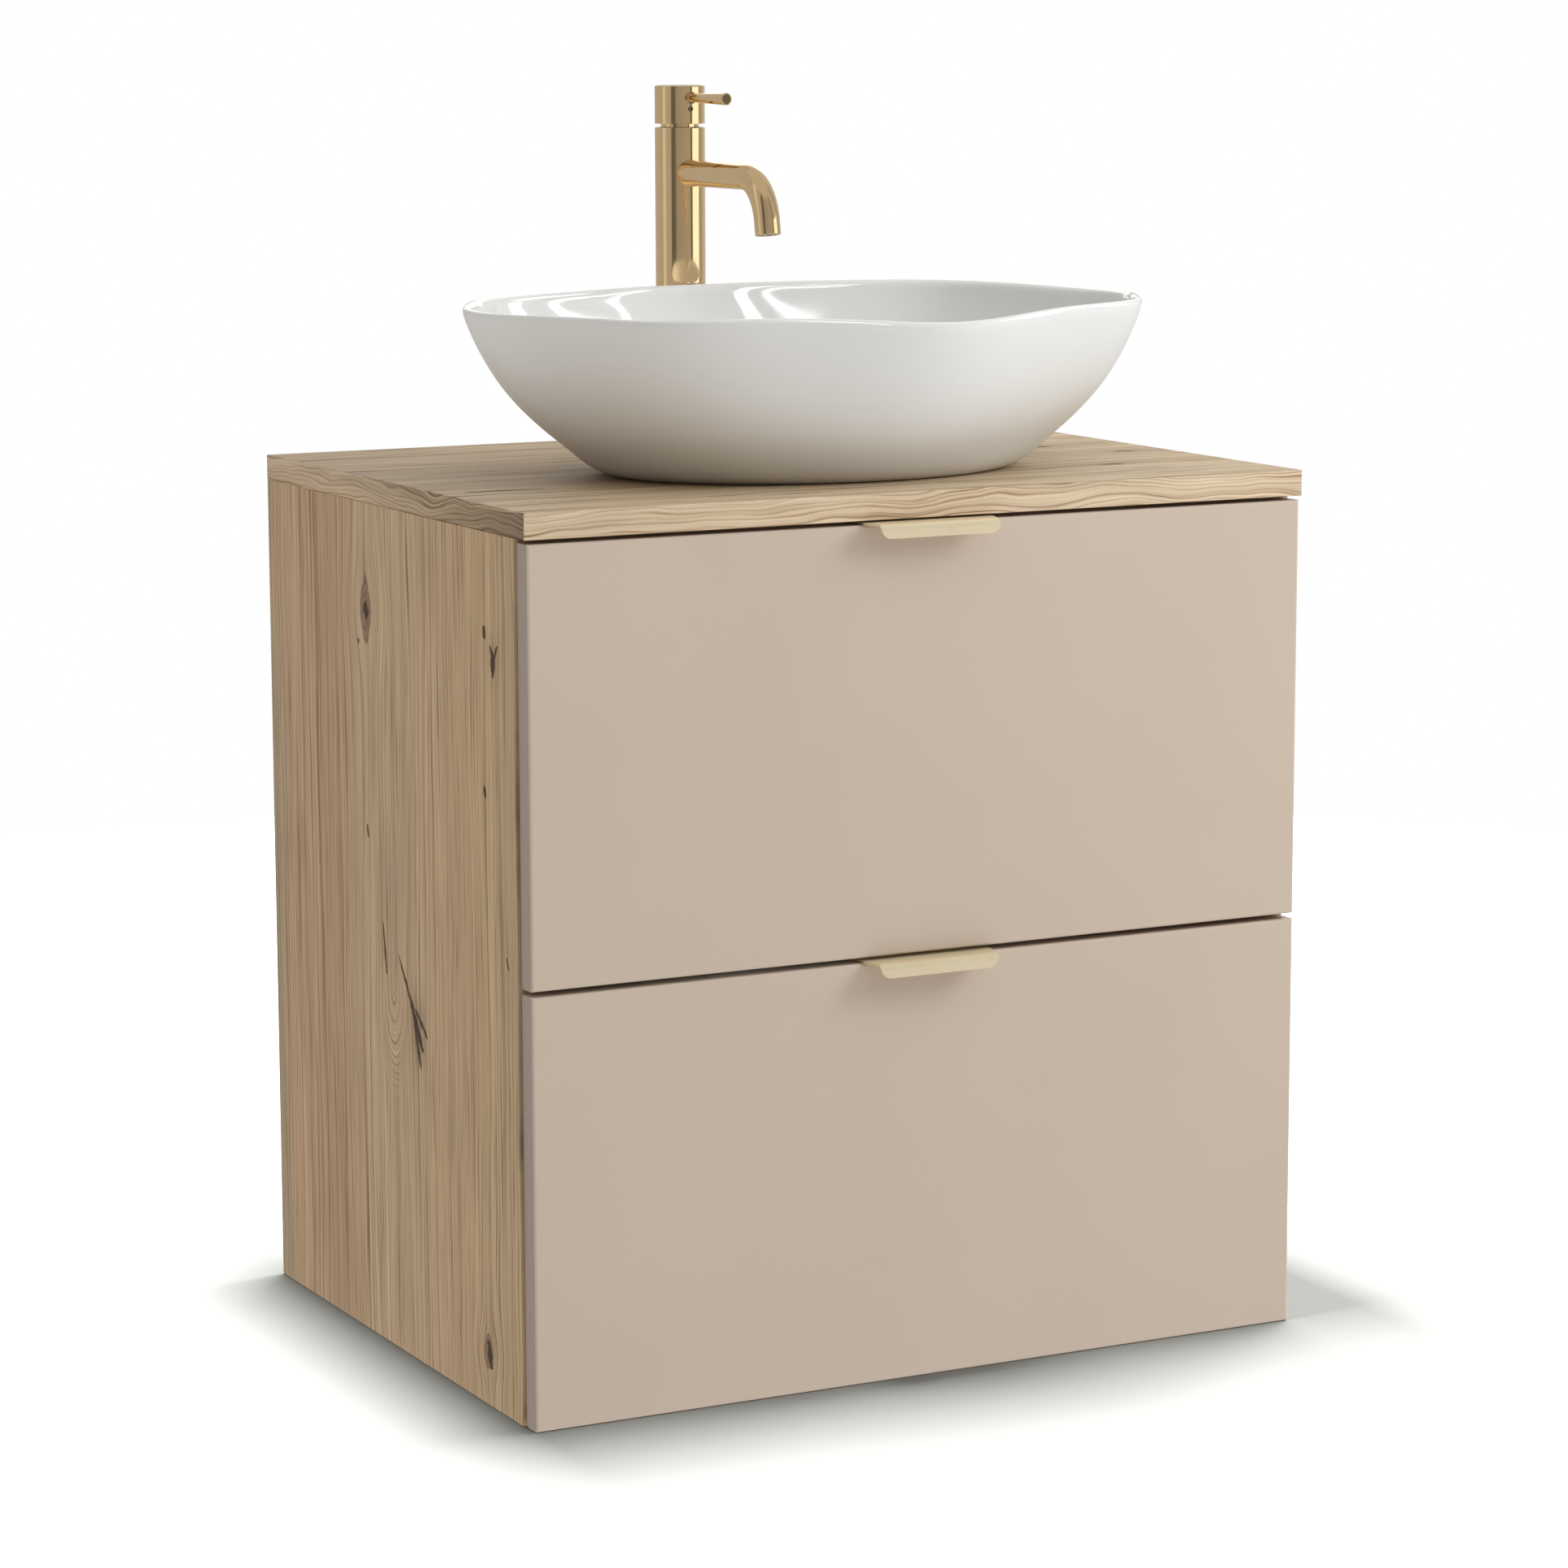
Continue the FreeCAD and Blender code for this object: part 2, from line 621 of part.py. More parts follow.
def basin():
    rings = [basin_ring(*entry) for entry in basin_profile()]
    poles = [list(ring) for ring in rings]
    rows = len(poles)
    knots = list(range(rows - 2))
    mults = [4] + [1] * (rows - 4) + [4]
    surface = Part.BSplineSurface()
    around = list(range(RING_POLES + 1))
    surface.buildFromPolesMultsKnots(poles, mults, [1] * len(around), knots, around, False, True, 3, 3)
    skin = surface.toShape()
    level = [edge for edge in skin.Edges if edge.BoundBox.ZLength < 1e-4 and edge.isClosed()]
    caps = [Part.Face(Part.Wire([edge])) for edge in level]
    shell = Part.makeShell([skin] + caps)
    shell = Part.Shell(shell.Faces)
    shell.sewShape()
    body = Part.makeSolid(shell)
    if body.Volume < 0:
        body.reverse()
    hole = rod(DRAIN_HOLE_R, (0, BASIN_Y, TOP_Z - 1), (0, BASIN_Y, FLOOR_Z + 5))
    seat = rod(WASTE_FLANGE_R + 1.0, (0, BASIN_Y, SEAT_Z), (0, BASIN_Y, FLOOR_Z + 5))
    return cut_all(body, [hole, seat])


# ---------------------------------------------------------------- waste and trap

def waste_body():
    """Flange and threaded tube, with a three-armed guide for the plug's stem."""
    seat = FLANGE_TOP - WASTE_FLANGE_T
    mouth_r = WASTE_R - 0.9
    shell = turned([(WASTE_BORE_R, WASTE_BOTTOM), (WASTE_R, WASTE_BOTTOM), (WASTE_R, seat),
                    (WASTE_FLANGE_R, seat), (WASTE_FLANGE_R, FLANGE_TOP - 0.8),
                    (WASTE_FLANGE_R - 1.5, FLANGE_TOP), (mouth_r, FLANGE_TOP), (mouth_r, FLANGE_TOP - 4.5),
                    (WASTE_BORE_R, FLANGE_TOP - 7)], BASIN_Y)
    guide = rod(PLUG_STEM_R + 2.5, (0, BASIN_Y, GUIDE_BOTTOM), (0, BASIN_Y, GUIDE_TOP))
    for k in range(3):
        arm = block(0, WASTE_BORE_R + 1, -1.2, 1.2, GUIDE_BOTTOM, GUIDE_TOP)
        arm.rotate(Vector(0, 0, 0), Z_AXIS, 120 * k + 30)
        arm.translate(Vector(0, BASIN_Y, 0))
        guide = guide.fuse(arm)
    bore = rod(PLUG_STEM_R + HOLE_GAP, (0, BASIN_Y, GUIDE_BOTTOM - 1), (0, BASIN_Y, GUIDE_TOP + 1))
    return shell.fuse(guide).removeSplitter().cut(bore)


def waste_plug():
    low = FLANGE_TOP + 0.4
    cap = turned([(0, low), (28.2, low), (29.5, low + 1.2), (29.5, low + 2.4), (27.5, low + 4.2),
                  (20.0, low + 5.4), (10.0, low + 6.0), (0, low + 6.1)], BASIN_Y)
    stem = rod(PLUG_STEM_R, (0, BASIN_Y, PLUG_STEM_BOTTOM), (0, BASIN_Y, low + 1))
    return cap.fuse(stem).removeSplitter()


def waste_seals():
    """Rubber rings under the flange and above the backnut."""
    bore_r = WASTE_R + 0.2
    flange_low = FLANGE_TOP - WASTE_FLANGE_T
    under_flange = tube(WASTE_FLANGE_R - 1, bore_r, (0, BASIN_Y, SEAT_Z), (0, BASIN_Y, flange_low))
    above_nut = tube(WASTE_NUT_R + 2, bore_r, (0, BASIN_Y, CARCASS_H - SEAL_T), (0, BASIN_Y, CARCASS_H))
    return under_flange, above_nut


def ribbed_ring(outer, bores, ribs, z0, z1, y):
    """A plastic coupling nut: a stepped bore, given as (radius, z0, z1) parts, and grip ribs outside."""
    ring = rod(outer, (0, y, z0), (0, y, z1))
    for k in range(ribs):
        rib = block(outer - 1, outer + 1.5, -1.5, 1.5, z0, z1)
        rib.rotate(Vector(0, 0, 0), Z_AXIS, 360.0 * k / ribs)
        rib.translate(Vector(0, y, 0))
        ring = ring.fuse(rib)
    return cut_all(ring, [rod(radius, (0, y, low), (0, y, high)) for radius, low, high in bores])


def waste_nut():
    bore = (WASTE_R + HOLE_GAP, WASTE_NUT_BOTTOM - 1, CARCASS_H)
    return ribbed_ring(WASTE_NUT_R, [bore], 12, WASTE_NUT_BOTTOM, CARCASS_H - SEAL_T, BASIN_Y)


def trap_inlet_nut():
    """Clamps the inlet tube to the waste's lower end."""
    bores = [(WASTE_R + HOLE_GAP, WASTE_BOTTOM, INLET_NUT_TOP + 1),
             (PIPE_R + HOLE_GAP, INLET_NUT_BOTTOM - 1, WASTE_BOTTOM + 1)]
    return ribbed_ring(INLET_NUT_R, bores, 12, INLET_NUT_BOTTOM, INLET_NUT_TOP, BASIN_Y)


def trap_body():
    """The bottle trap's head: closed on top round the inlet tube, open below, with an outlet stub."""
    shoulder = TRAP_HEAD_TOP - 8
    stub_end = (0, BASIN_Y + TRAP_R + STUB_L, TRAP_OUTLET_Z)
    past_stub = (0, BASIN_Y + TRAP_R + STUB_L + 1, TRAP_OUTLET_Z)
    shell = rod(TRAP_R, (0, BASIN_Y, TRAP_JOINT_Z), (0, BASIN_Y, shoulder))
    shell = shell.fuse(rod(PIPE_R + 5.0, (0, BASIN_Y, shoulder), (0, BASIN_Y, TRAP_HEAD_TOP)))
    shell = shell.fuse(rod(STUB_R, (0, BASIN_Y, TRAP_OUTLET_Z), stub_end))
    hollow = rod(TRAP_R - TRAP_WALL, (0, BASIN_Y, TRAP_JOINT_Z - 1), (0, BASIN_Y, shoulder - 3))
    inlet = rod(PIPE_R + HOLE_GAP, (0, BASIN_Y, shoulder - 4), (0, BASIN_Y, TRAP_HEAD_TOP + 1))
    outlet = rod(PIPE_R + HOLE_GAP, (0, BASIN_Y, TRAP_OUTLET_Z), past_stub)
    return cut_all(shell.removeSplitter(), [hollow, inlet, outlet])


def trap_cup():
    """The screw-off cup below the head, whose ribbed ring reaches up round the head's lower end."""
    ring_low = TRAP_JOINT_Z - 12
    ring_high = TRAP_JOINT_Z + 5
    bottom = TRAP_JOINT_Z - TRAP_CUP_H
    inner_r = TRAP_R - TRAP_WALL
    ring = ribbed_ring(TRAP_R + 3.5, [], 12, ring_low, ring_high, BASIN_Y)
    bowl = turned([(0, bottom), (22, bottom), (30, bottom + 6), (TRAP_R, ring_low), (0, ring_low)], BASIN_Y)
    cup = ring.fuse(bowl).removeSplitter()
    mouth = rod(TRAP_R + HOLE_GAP, (0, BASIN_Y, TRAP_JOINT_Z), (0, BASIN_Y, ring_high + 1))
    inside = turned([(0, bottom + 3), (20, bottom + 3), (27.5, bottom + 8), (inner_r, ring_low),
                     (inner_r, TRAP_JOINT_Z + 1), (0, TRAP_JOINT_Z + 1)], BASIN_Y)
    return cut_all(cup, [mouth, inside])


def trap_tail():
    """The inlet tube from the waste down into the cup."""
    return tube(PIPE_R, PIPE_BORE_R, (0, BASIN_Y, TRAP_JOINT_Z - 26), (0, BASIN_Y, PIPE_TOP))


def trap_outlet_pipe():
    """The pipe to the wall. A bead marks how far its free end goes into the wall socket."""
    start = (0, BASIN_Y + TRAP_R - 2, TRAP_OUTLET_Z)
    end = (0, DEPTH, TRAP_OUTLET_Z)
    bead_end = DEPTH - OUTLET_FREE_END
    bead = rod(PIPE_R + 1.8, (0, bead_end - 4, TRAP_OUTLET_Z), (0, bead_end, TRAP_OUTLET_Z))
    return rod(PIPE_R, start, end).fuse(bead).cut(rod(PIPE_BORE_R, start, end))


def trap_outlet_nut():
    """The coupling nut over the outlet stub."""
    stub_end = TRAP_R + STUB_L
    start = stub_end - 14
    bores = [(STUB_R + HOLE_GAP, start, stub_end + 0.5), (PIPE_R + HOLE_GAP, stub_end - 1, stub_end + 6)]
    nut = ribbed_ring(STUB_R + 4, bores, 10, start, stub_end + 5, 0)
    nut.rotate(Vector(0, 0, 0), X_AXIS, -90)
    nut.translate(Vector(0, BASIN_Y, TRAP_OUTLET_Z))
    return nut


# ---------------------------------------------------------------- tap

def tap_body():
    """The tall column, bored for the cartridge on top, the shank below and the spout at its front."""
    column = rod(TAP_R, (0, TAP_Y, TAP_BASE_TOP), (0, TAP_Y, TAP_BODY_TOP))
    column = round_edges(column, 0.6, lambda edge: edge.BoundBox.ZMin > TAP_BODY_TOP - 1e-6)
    bores = [rod(CARTRIDGE_R, (0, TAP_Y, CARTRIDGE_SEAT), (0, TAP_Y, TAP_BODY_TOP + 1)),
             rod(WATERWAY_R, (0, TAP_Y, WATERWAY_BOTTOM), (0, TAP_Y, CARTRIDGE_SEAT)),
             rod(SHANK_R + HOLE_GAP, (0, TAP_Y, TAP_BASE_TOP - 1), (0, TAP_Y, SHANK_TOP)),
             rod(SPOUT_ROOT_R + HOLE_GAP, (0, TAP_Y, SPOUT_Z), (0, TAP_Y - TAP_R - 5, SPOUT_Z))]
    for x in (-INLET_OFFSET, INLET_OFFSET):
        bores.append(rod(INLET_R, (x, TAP_Y, SHANK_TOP - 1), (x, TAP_Y, SHANK_TOP + INLET_DEPTH)))
    return cut_all(column, bores)


def tap_base_ring():
    return turned([(TAP_R - 1.0, TOP_Z), (24.0, TOP_Z), (24.0, TOP_Z + 2.2), (TAP_R + 1.5, TAP_BASE_TOP),
                   (TAP_R - 1.0, TAP_BASE_TOP)], TAP_Y)


def spout_bend(angle):
    """The point on the spout's bend after turning down by this angle."""
    drop = SPOUT_BEND_R * (1 - math.cos(angle))
    return Vector(0, SPOUT_LEVEL_END - SPOUT_BEND_R * math.sin(angle), SPOUT_Z - drop)


TIP_WAY = Vector(0, -math.cos(SPOUT_TURN), -math.sin(SPOUT_TURN))
SPOUT_TIP = spout_bend(SPOUT_TURN) + TIP_WAY * SPOUT_TIP_L


def tap_spout():
    """Level arm, long bend and down-turned tip, as one tube with a slight swell where it meets the column."""
    root = Vector(0, TAP_Y - 8.2, SPOUT_Z)
    bend_start = spout_bend(0)
    bend_end = spout_bend(SPOUT_TURN)
    path = Part.Wire([Part.LineSegment(root, bend_start).toShape(),
                      Part.Arc(bend_start, spout_bend(SPOUT_TURN / 2), bend_end).toShape(),
                      Part.LineSegment(bend_end, SPOUT_TIP).toShape()])

    def swept(radius):
        circle = Part.Wire([Part.makeCircle(radius, root, Y_AXIS)])
        return path.makePipeShell([circle], True, False)

    swell = Part.makeCone(SPOUT_ROOT_R, SPOUT_R, 14.0, Vector(0, TAP_Y - TAP_R, SPOUT_Z), Vector(0, -1, 0))
    collar = rod(SPOUT_ROOT_R, root, (0, TAP_Y - TAP_R, SPOUT_Z))
    arm = swept(SPOUT_R).fuse(collar).fuse(swell)
    mouth = rod(AERATOR_R + HOLE_GAP, SPOUT_TIP - TIP_WAY * 8.0, SPOUT_TIP + TIP_WAY)
    waterway = rod(WATERWAY_R, (0, TAP_Y, SPOUT_Z - 20), (0, TAP_Y, SPOUT_Z + 20))
    return cut_all(arm, [swept(SPOUT_BORE_R), mouth, waterway])


def tap_aerator():
    """A ring with a perforated disc, let into the spout's tip."""
    body = rod(AERATOR_R, (0, 0, 0), (0, 0, 6.5)).cut(rod(AERATOR_R - 1.6, (0, 0, 2.5), (0, 0, 7)))
    for count, radius in ((1, 0.0), (6, 2.2), (12, 4.6)):
        for k in range(count):
            angle = 2 * math.pi * k / count
            x = radius * math.cos(angle)
            y = radius * math.sin(angle)
            body = body.cut(rod(0.6, (x, y, -1), (x, y, 3)))
    body.Placement = FreeCAD.Placement(SPOUT_TIP - TIP_WAY * 7.5, FreeCAD.Rotation(Z_AXIS, TIP_WAY))
    return body


def tap_cartridge():
    """The ceramic cartridge, with a bore for the swivel collar's stub and ports below."""
    low = CARTRIDGE_SEAT + 0.2
    high = TAP_BODY_TOP - 0.2
    outer = CARTRIDGE_R - 0.1
    shell = turned([(0, low), (outer, low), (outer, high - 0.8), (outer - 1.9, high - 0.8),
                    (outer - 2.5, high), (0, high)], TAP_Y)
    stub = rod(COLLAR_STUB_R + HOLE_GAP, (0, TAP_Y, COLLAR_STUB_BOTTOM - 0.5), (0, TAP_Y, high + 1))
    ports = [rod(2.2, (x, TAP_Y, low - 1), (x, TAP_Y, low + 4.8)) for x in (-4.5, 4.5)]
    return cut_all(shell, [stub] + ports)


def tap_swivel_collar():
    """Turns in the cartridge. Its two ears carry the spindle's pivot."""
    rim_low = TAP_BODY_TOP + 0.3
    rim_high = PIVOT_Z - 1.7
    ear_in = SPINDLE_HALF + 0.3
    ear_out = COLLAR_STUB_R - 0.5
    disc = turned([(0, COLLAR_STUB_BOTTOM), (COLLAR_STUB_R, COLLAR_STUB_BOTTOM), (COLLAR_STUB_R, rim_low),
                   (14.0, rim_low), (14.0, rim_high), (0, rim_high)], TAP_Y)
    for side in (-1, 1):
        ear = block(ear_in, ear_out, TAP_Y - 3.5, TAP_Y + 3.5, PIVOT_Z - 2.0, PIVOT_Z)
        ear = ear.fuse(rod(3.5, (ear_in, TAP_Y, PIVOT_Z), (ear_out, TAP_Y, PIVOT_Z)))
        disc = disc.fuse(on_side(side, ear))
    pocket = block(-ear_in, ear_in, TAP_Y - 6, TAP_Y + 6, PIVOT_Z - 5.5, PIVOT_Z + 10)
    pin_hole = rod(PIN_R + HOLE_GAP, (-9, TAP_Y, PIVOT_Z), (9, TAP_Y, PIVOT_Z))
    return cut_all(disc.removeSplitter(), [pocket, pin_hole])


def tap_spindle():
    """The square lever of the cartridge, with the pivot pin through its lower end."""
    half = SPINDLE_HALF
    square = block(-half, half, TAP_Y - half, TAP_Y + half, PIVOT_Z - 2.4, PIVOT_Z + 14.5)
    pin = rod(PIN_R, (-7.3, TAP_Y, PIVOT_Z), (7.3, TAP_Y, PIVOT_Z))
    return square.fuse(pin).removeSplitter()


def tap_handle_cap():
    """The round cap. Its lower rear edge is cut back so that it clears the column when it tips up."""
    cap = rod(TAP_R, (0, TAP_Y, CAP_BOTTOM), (0, TAP_Y, CAP_TOP))
    cap = round_edges(cap, 1.2, lambda edge: edge.BoundBox.ZMin > CAP_TOP - 1e-6)
    half = SPINDLE_HALF + HOLE_GAP
    face_y = TAP_Y - TAP_R - 1
    cavity = rod(CARTRIDGE_R + 0.5, (0, TAP_Y, CAP_BOTTOM - 1), (0, TAP_Y, PIVOT_Z + 5))
    socket = block(-half, half, TAP_Y - half, TAP_Y + half, PIVOT_Z + 4, PIVOT_Z + 15)
    lever_hole = rod(LEVER_ROOT_R + HOLE_GAP, (0, face_y, LEVER_Z), (0, TAP_Y - 11, LEVER_Z))
    stud_hole = rod(PIN_R + HOLE_GAP, (0, face_y, SET_SCREW_Z), (0, TAP_Y - 3, SET_SCREW_Z))
    under = block(-30, 30, TAP_Y - 40, TAP_Y + 40, TAP_BODY_TOP - 40, TAP_BODY_TOP + 0.5)
    under.rotate(Vector(0, TAP_Y, PIVOT_Z), X_AXIS, LIFT_ANGLE)
    return cut_all(cap, [cavity, socket, lever_hole, stud_hole, under])


def tap_lever():
    """A pin that widens towards its rounded tip, with a small collar where it meets the cap."""
    root = TAP_Y - TAP_R
    length = root - LEVER_END
    pin = Part.makeCone(LEVER_ROOT_R, LEVER_TIP_R, length, Vector(0, root, LEVER_Z), Vector(0, -1, 0))
    pin = round_edges(pin, 1.0, lambda edge: edge.BoundBox.YMax < LEVER_END + 1e-6)
    tenon = rod(LEVER_ROOT_R, (0, root + 7, LEVER_Z), (0, root, LEVER_Z))
    collar = rod(LEVER_ROOT_R + 1.4, (0, root + 0.4, LEVER_Z), (0, root - 1.4, LEVER_Z))
    clear = rod(TAP_R + 0.02, (0, TAP_Y, LEVER_Z - 10), (0, TAP_Y, LEVER_Z + 10))
    return pin.fuse(collar).cut(clear).fuse(tenon).removeSplitter()


def tap_set_screw():
    """The stud in the cap that clamps the spindle, with a hexagon socket in its outer end."""
    outer_end = TAP_Y - 13.5
    stud = rod(PIN_R, (0, TAP_Y - SPINDLE_HALF - 0.1, SET_SCREW_Z), (0, outer_end, SET_SCREW_Z))
    key = hexagon(2.0, 0, 0, 3)
    key.Placement = FreeCAD.Placement(Vector(0, outer_end, SET_SCREW_Z), FreeCAD.Rotation(Z_AXIS, Y_AXIS))
    return stud.cut(key)


def tap_shank():
    return tube(SHANK_R, SHANK_BORE_R, (0, TAP_Y, SHANK_BOTTOM), (0, TAP_Y, SHANK_TOP))


def tap_fixing_nut():
    nut = hexagon(44.0, TAP_Y, FIXING_NUT_BOTTOM, CARCASS_H)
    nut = nut.fuse(rod(26.0, (0, TAP_Y, CARCASS_H - 2.5), (0, TAP_Y, CARCASS_H))).removeSplitter()
    return nut.cut(rod(SHANK_R + HOLE_GAP, (0, TAP_Y, FIXING_NUT_BOTTOM - 1), (0, TAP_Y, CARCASS_H + 1)))


# ---------------------------------------------------------------- write every node

def write_cabinet():
    save("side_panel_left", side_panel(-1))
    save("side_panel_right", side_panel(1))
    save("bottom_panel", bottom_panel())
    save("front_rail", front_rail())
    save("back_rail_upper", back_rail_upper())
    save("back_rail_lower", back_rail_lower())
    save("worktop", worktop())
    save("worktop_edging", *worktop_edging())
    save("cam_locks", *[cam_lock(seat, way) for name, seat, way in cam_seats()])
    save("worktop_screws", *worktop_screws())
    save("panel_screws", *panel_screws())
    save("hanger_left", hanger(-1))
    save("hanger_right", hanger(1))
    for level, box_z in (("upper", UPPER_BOX_Z), ("lower", LOWER_BOX_Z)):
        save(level + "_runner_rails", *runner_rails(box_z))
        save(level + "_runner_middles", *runner_middles(box_z))
        save(level + "_runner_slides", *runner_slides(box_z))


def write_drawers():
    for level, front_z, box_z in (("upper", UPPER_FRONT_Z, UPPER_BOX_Z), ("lower", 0.0, LOWER_BOX_Z)):
        save(level + "_front", drawer_front(front_z))
        save(level + "_handle", handle(front_z))
        save(level + "_side_left", box_side(-1, box_z))
        save(level + "_side_right", box_side(1, box_z))
        save(level + "_drawer_screws", *drawer_screws(front_z, box_z))
    back_y = BOX_END - BOX_T
    save("lower_bottom", box_bottom(LOWER_BOX_Z))
    save("lower_back", box_wall(-BOX_IN_X, BOX_IN_X, back_y, BOX_END, LOWER_BOX_Z))
    outer = NOTCH_HALF_W + NOTCH_WALL_T
    save("upper_bottom", notched_bottom(UPPER_BOX_Z))
    save("upper_back_left", box_wall(-BOX_IN_X, -outer, back_y, BOX_END, UPPER_BOX_Z))
    save("upper_back_right", box_wall(outer, BOX_IN_X, back_y, BOX_END, UPPER_BOX_Z))
    save("upper_notch_left", box_wall(-outer, -NOTCH_HALF_W, NOTCH_FRONT, BOX_END, UPPER_BOX_Z))
    save("upper_notch_right", box_wall(NOTCH_HALF_W, outer, NOTCH_FRONT, BOX_END, UPPER_BOX_Z))
    save("upper_notch_front", box_wall(-outer, outer, NOTCH_FRONT - NOTCH_WALL_T, NOTCH_FRONT, UPPER_BOX_Z))


def write_basin():
    save("basin", basin())
    save("waste_body", waste_body())
    save("waste_seals", *waste_seals())
    save("waste_nut", waste_nut())
    save("waste_plug", waste_plug())
    save("trap_tail", trap_tail())
    save("trap_inlet_nut", trap_inlet_nut())
    save("trap_body", trap_body())
    save("trap_cup", trap_cup())
    save("trap_outlet_pipe", trap_outlet_pipe())
    save("trap_outlet_nut", trap_outlet_nut())


def write_tap():
    save("tap_base_ring", tap_base_ring())
    save("tap_body", tap_body())
    save("tap_spout", tap_spout())
    save("tap_aerator", tap_aerator())
    save("tap_cartridge", tap_cartridge())
    save("tap_swivel_collar", tap_swivel_collar())
    save("tap_spindle", tap_spindle())
    save("tap_handle_cap", tap_handle_cap())
    save("tap_lever", tap_lever())
    save("tap_set_screw", tap_set_screw())
    save("tap_shank", tap_shank())
    save("tap_fixing_nut", tap_fixing_nut())


write_cabinet()
write_drawers()
write_basin()
write_tap()
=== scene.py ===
import json
import math

import bmesh
import bpy
import numpy as np
from mathutils import Matrix, Vector

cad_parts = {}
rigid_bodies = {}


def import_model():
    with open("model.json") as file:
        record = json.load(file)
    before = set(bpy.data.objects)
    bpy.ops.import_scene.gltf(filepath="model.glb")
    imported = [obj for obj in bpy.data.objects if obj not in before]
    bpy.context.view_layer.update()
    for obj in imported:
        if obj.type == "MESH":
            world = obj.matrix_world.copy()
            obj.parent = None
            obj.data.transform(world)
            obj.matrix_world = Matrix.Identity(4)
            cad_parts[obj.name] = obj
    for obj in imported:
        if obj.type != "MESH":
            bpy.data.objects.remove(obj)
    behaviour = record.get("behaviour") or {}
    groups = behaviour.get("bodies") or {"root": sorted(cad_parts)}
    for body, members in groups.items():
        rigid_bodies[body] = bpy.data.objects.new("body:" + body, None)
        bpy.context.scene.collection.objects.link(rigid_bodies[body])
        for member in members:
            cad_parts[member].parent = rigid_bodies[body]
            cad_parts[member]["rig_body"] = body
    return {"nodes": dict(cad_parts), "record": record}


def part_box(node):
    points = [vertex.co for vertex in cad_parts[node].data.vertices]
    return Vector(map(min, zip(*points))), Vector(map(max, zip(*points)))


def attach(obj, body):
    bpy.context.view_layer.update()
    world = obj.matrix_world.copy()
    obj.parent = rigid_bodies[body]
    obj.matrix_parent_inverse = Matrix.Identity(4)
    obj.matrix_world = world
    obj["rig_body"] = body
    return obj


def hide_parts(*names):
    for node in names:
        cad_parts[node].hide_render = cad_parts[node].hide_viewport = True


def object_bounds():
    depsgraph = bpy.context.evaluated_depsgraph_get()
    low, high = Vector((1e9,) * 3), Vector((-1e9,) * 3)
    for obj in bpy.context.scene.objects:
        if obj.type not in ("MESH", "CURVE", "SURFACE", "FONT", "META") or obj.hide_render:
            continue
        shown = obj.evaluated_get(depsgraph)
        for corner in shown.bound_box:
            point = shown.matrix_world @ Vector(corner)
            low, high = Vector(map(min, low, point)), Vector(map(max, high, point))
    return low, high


# The looks of the vanity: oak cabinet with two lacquered drawers, vessel basin, gold tap.
# Metres in the row frame. Textures work in millimetres of the same frame.

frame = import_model()
cad_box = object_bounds()
nodes = frame["nodes"]
MM = 0.001
NOISE_SPREAD = 3.6


# ---------------------------------------------------------------- node graphs

class Field:
    """A number that varies over a surface. Arithmetic on it adds Math nodes to its graph."""

    def __init__(self, graph, socket):
        self.graph = graph
        self.socket = socket

    def __add__(self, other):
        return self.graph.math("ADD", self, other)

    def __sub__(self, other):
        return self.graph.math("SUBTRACT", self, other)

    def __rsub__(self, other):
        return self.graph.math("SUBTRACT", other, self)

    def __mul__(self, other):
        return self.graph.math("MULTIPLY", self, other)

    def __truediv__(self, other):
        return self.graph.math("DIVIDE", self, other)

    def __pow__(self, other):
        return self.graph.math("POWER", self, other)

    __radd__ = __add__
    __rmul__ = __mul__

    def smooth(self, low, high):
        """0 at low and 1 at high, with a soft step between. Low may be the larger."""
        return self.graph.smooth(self, low, high)


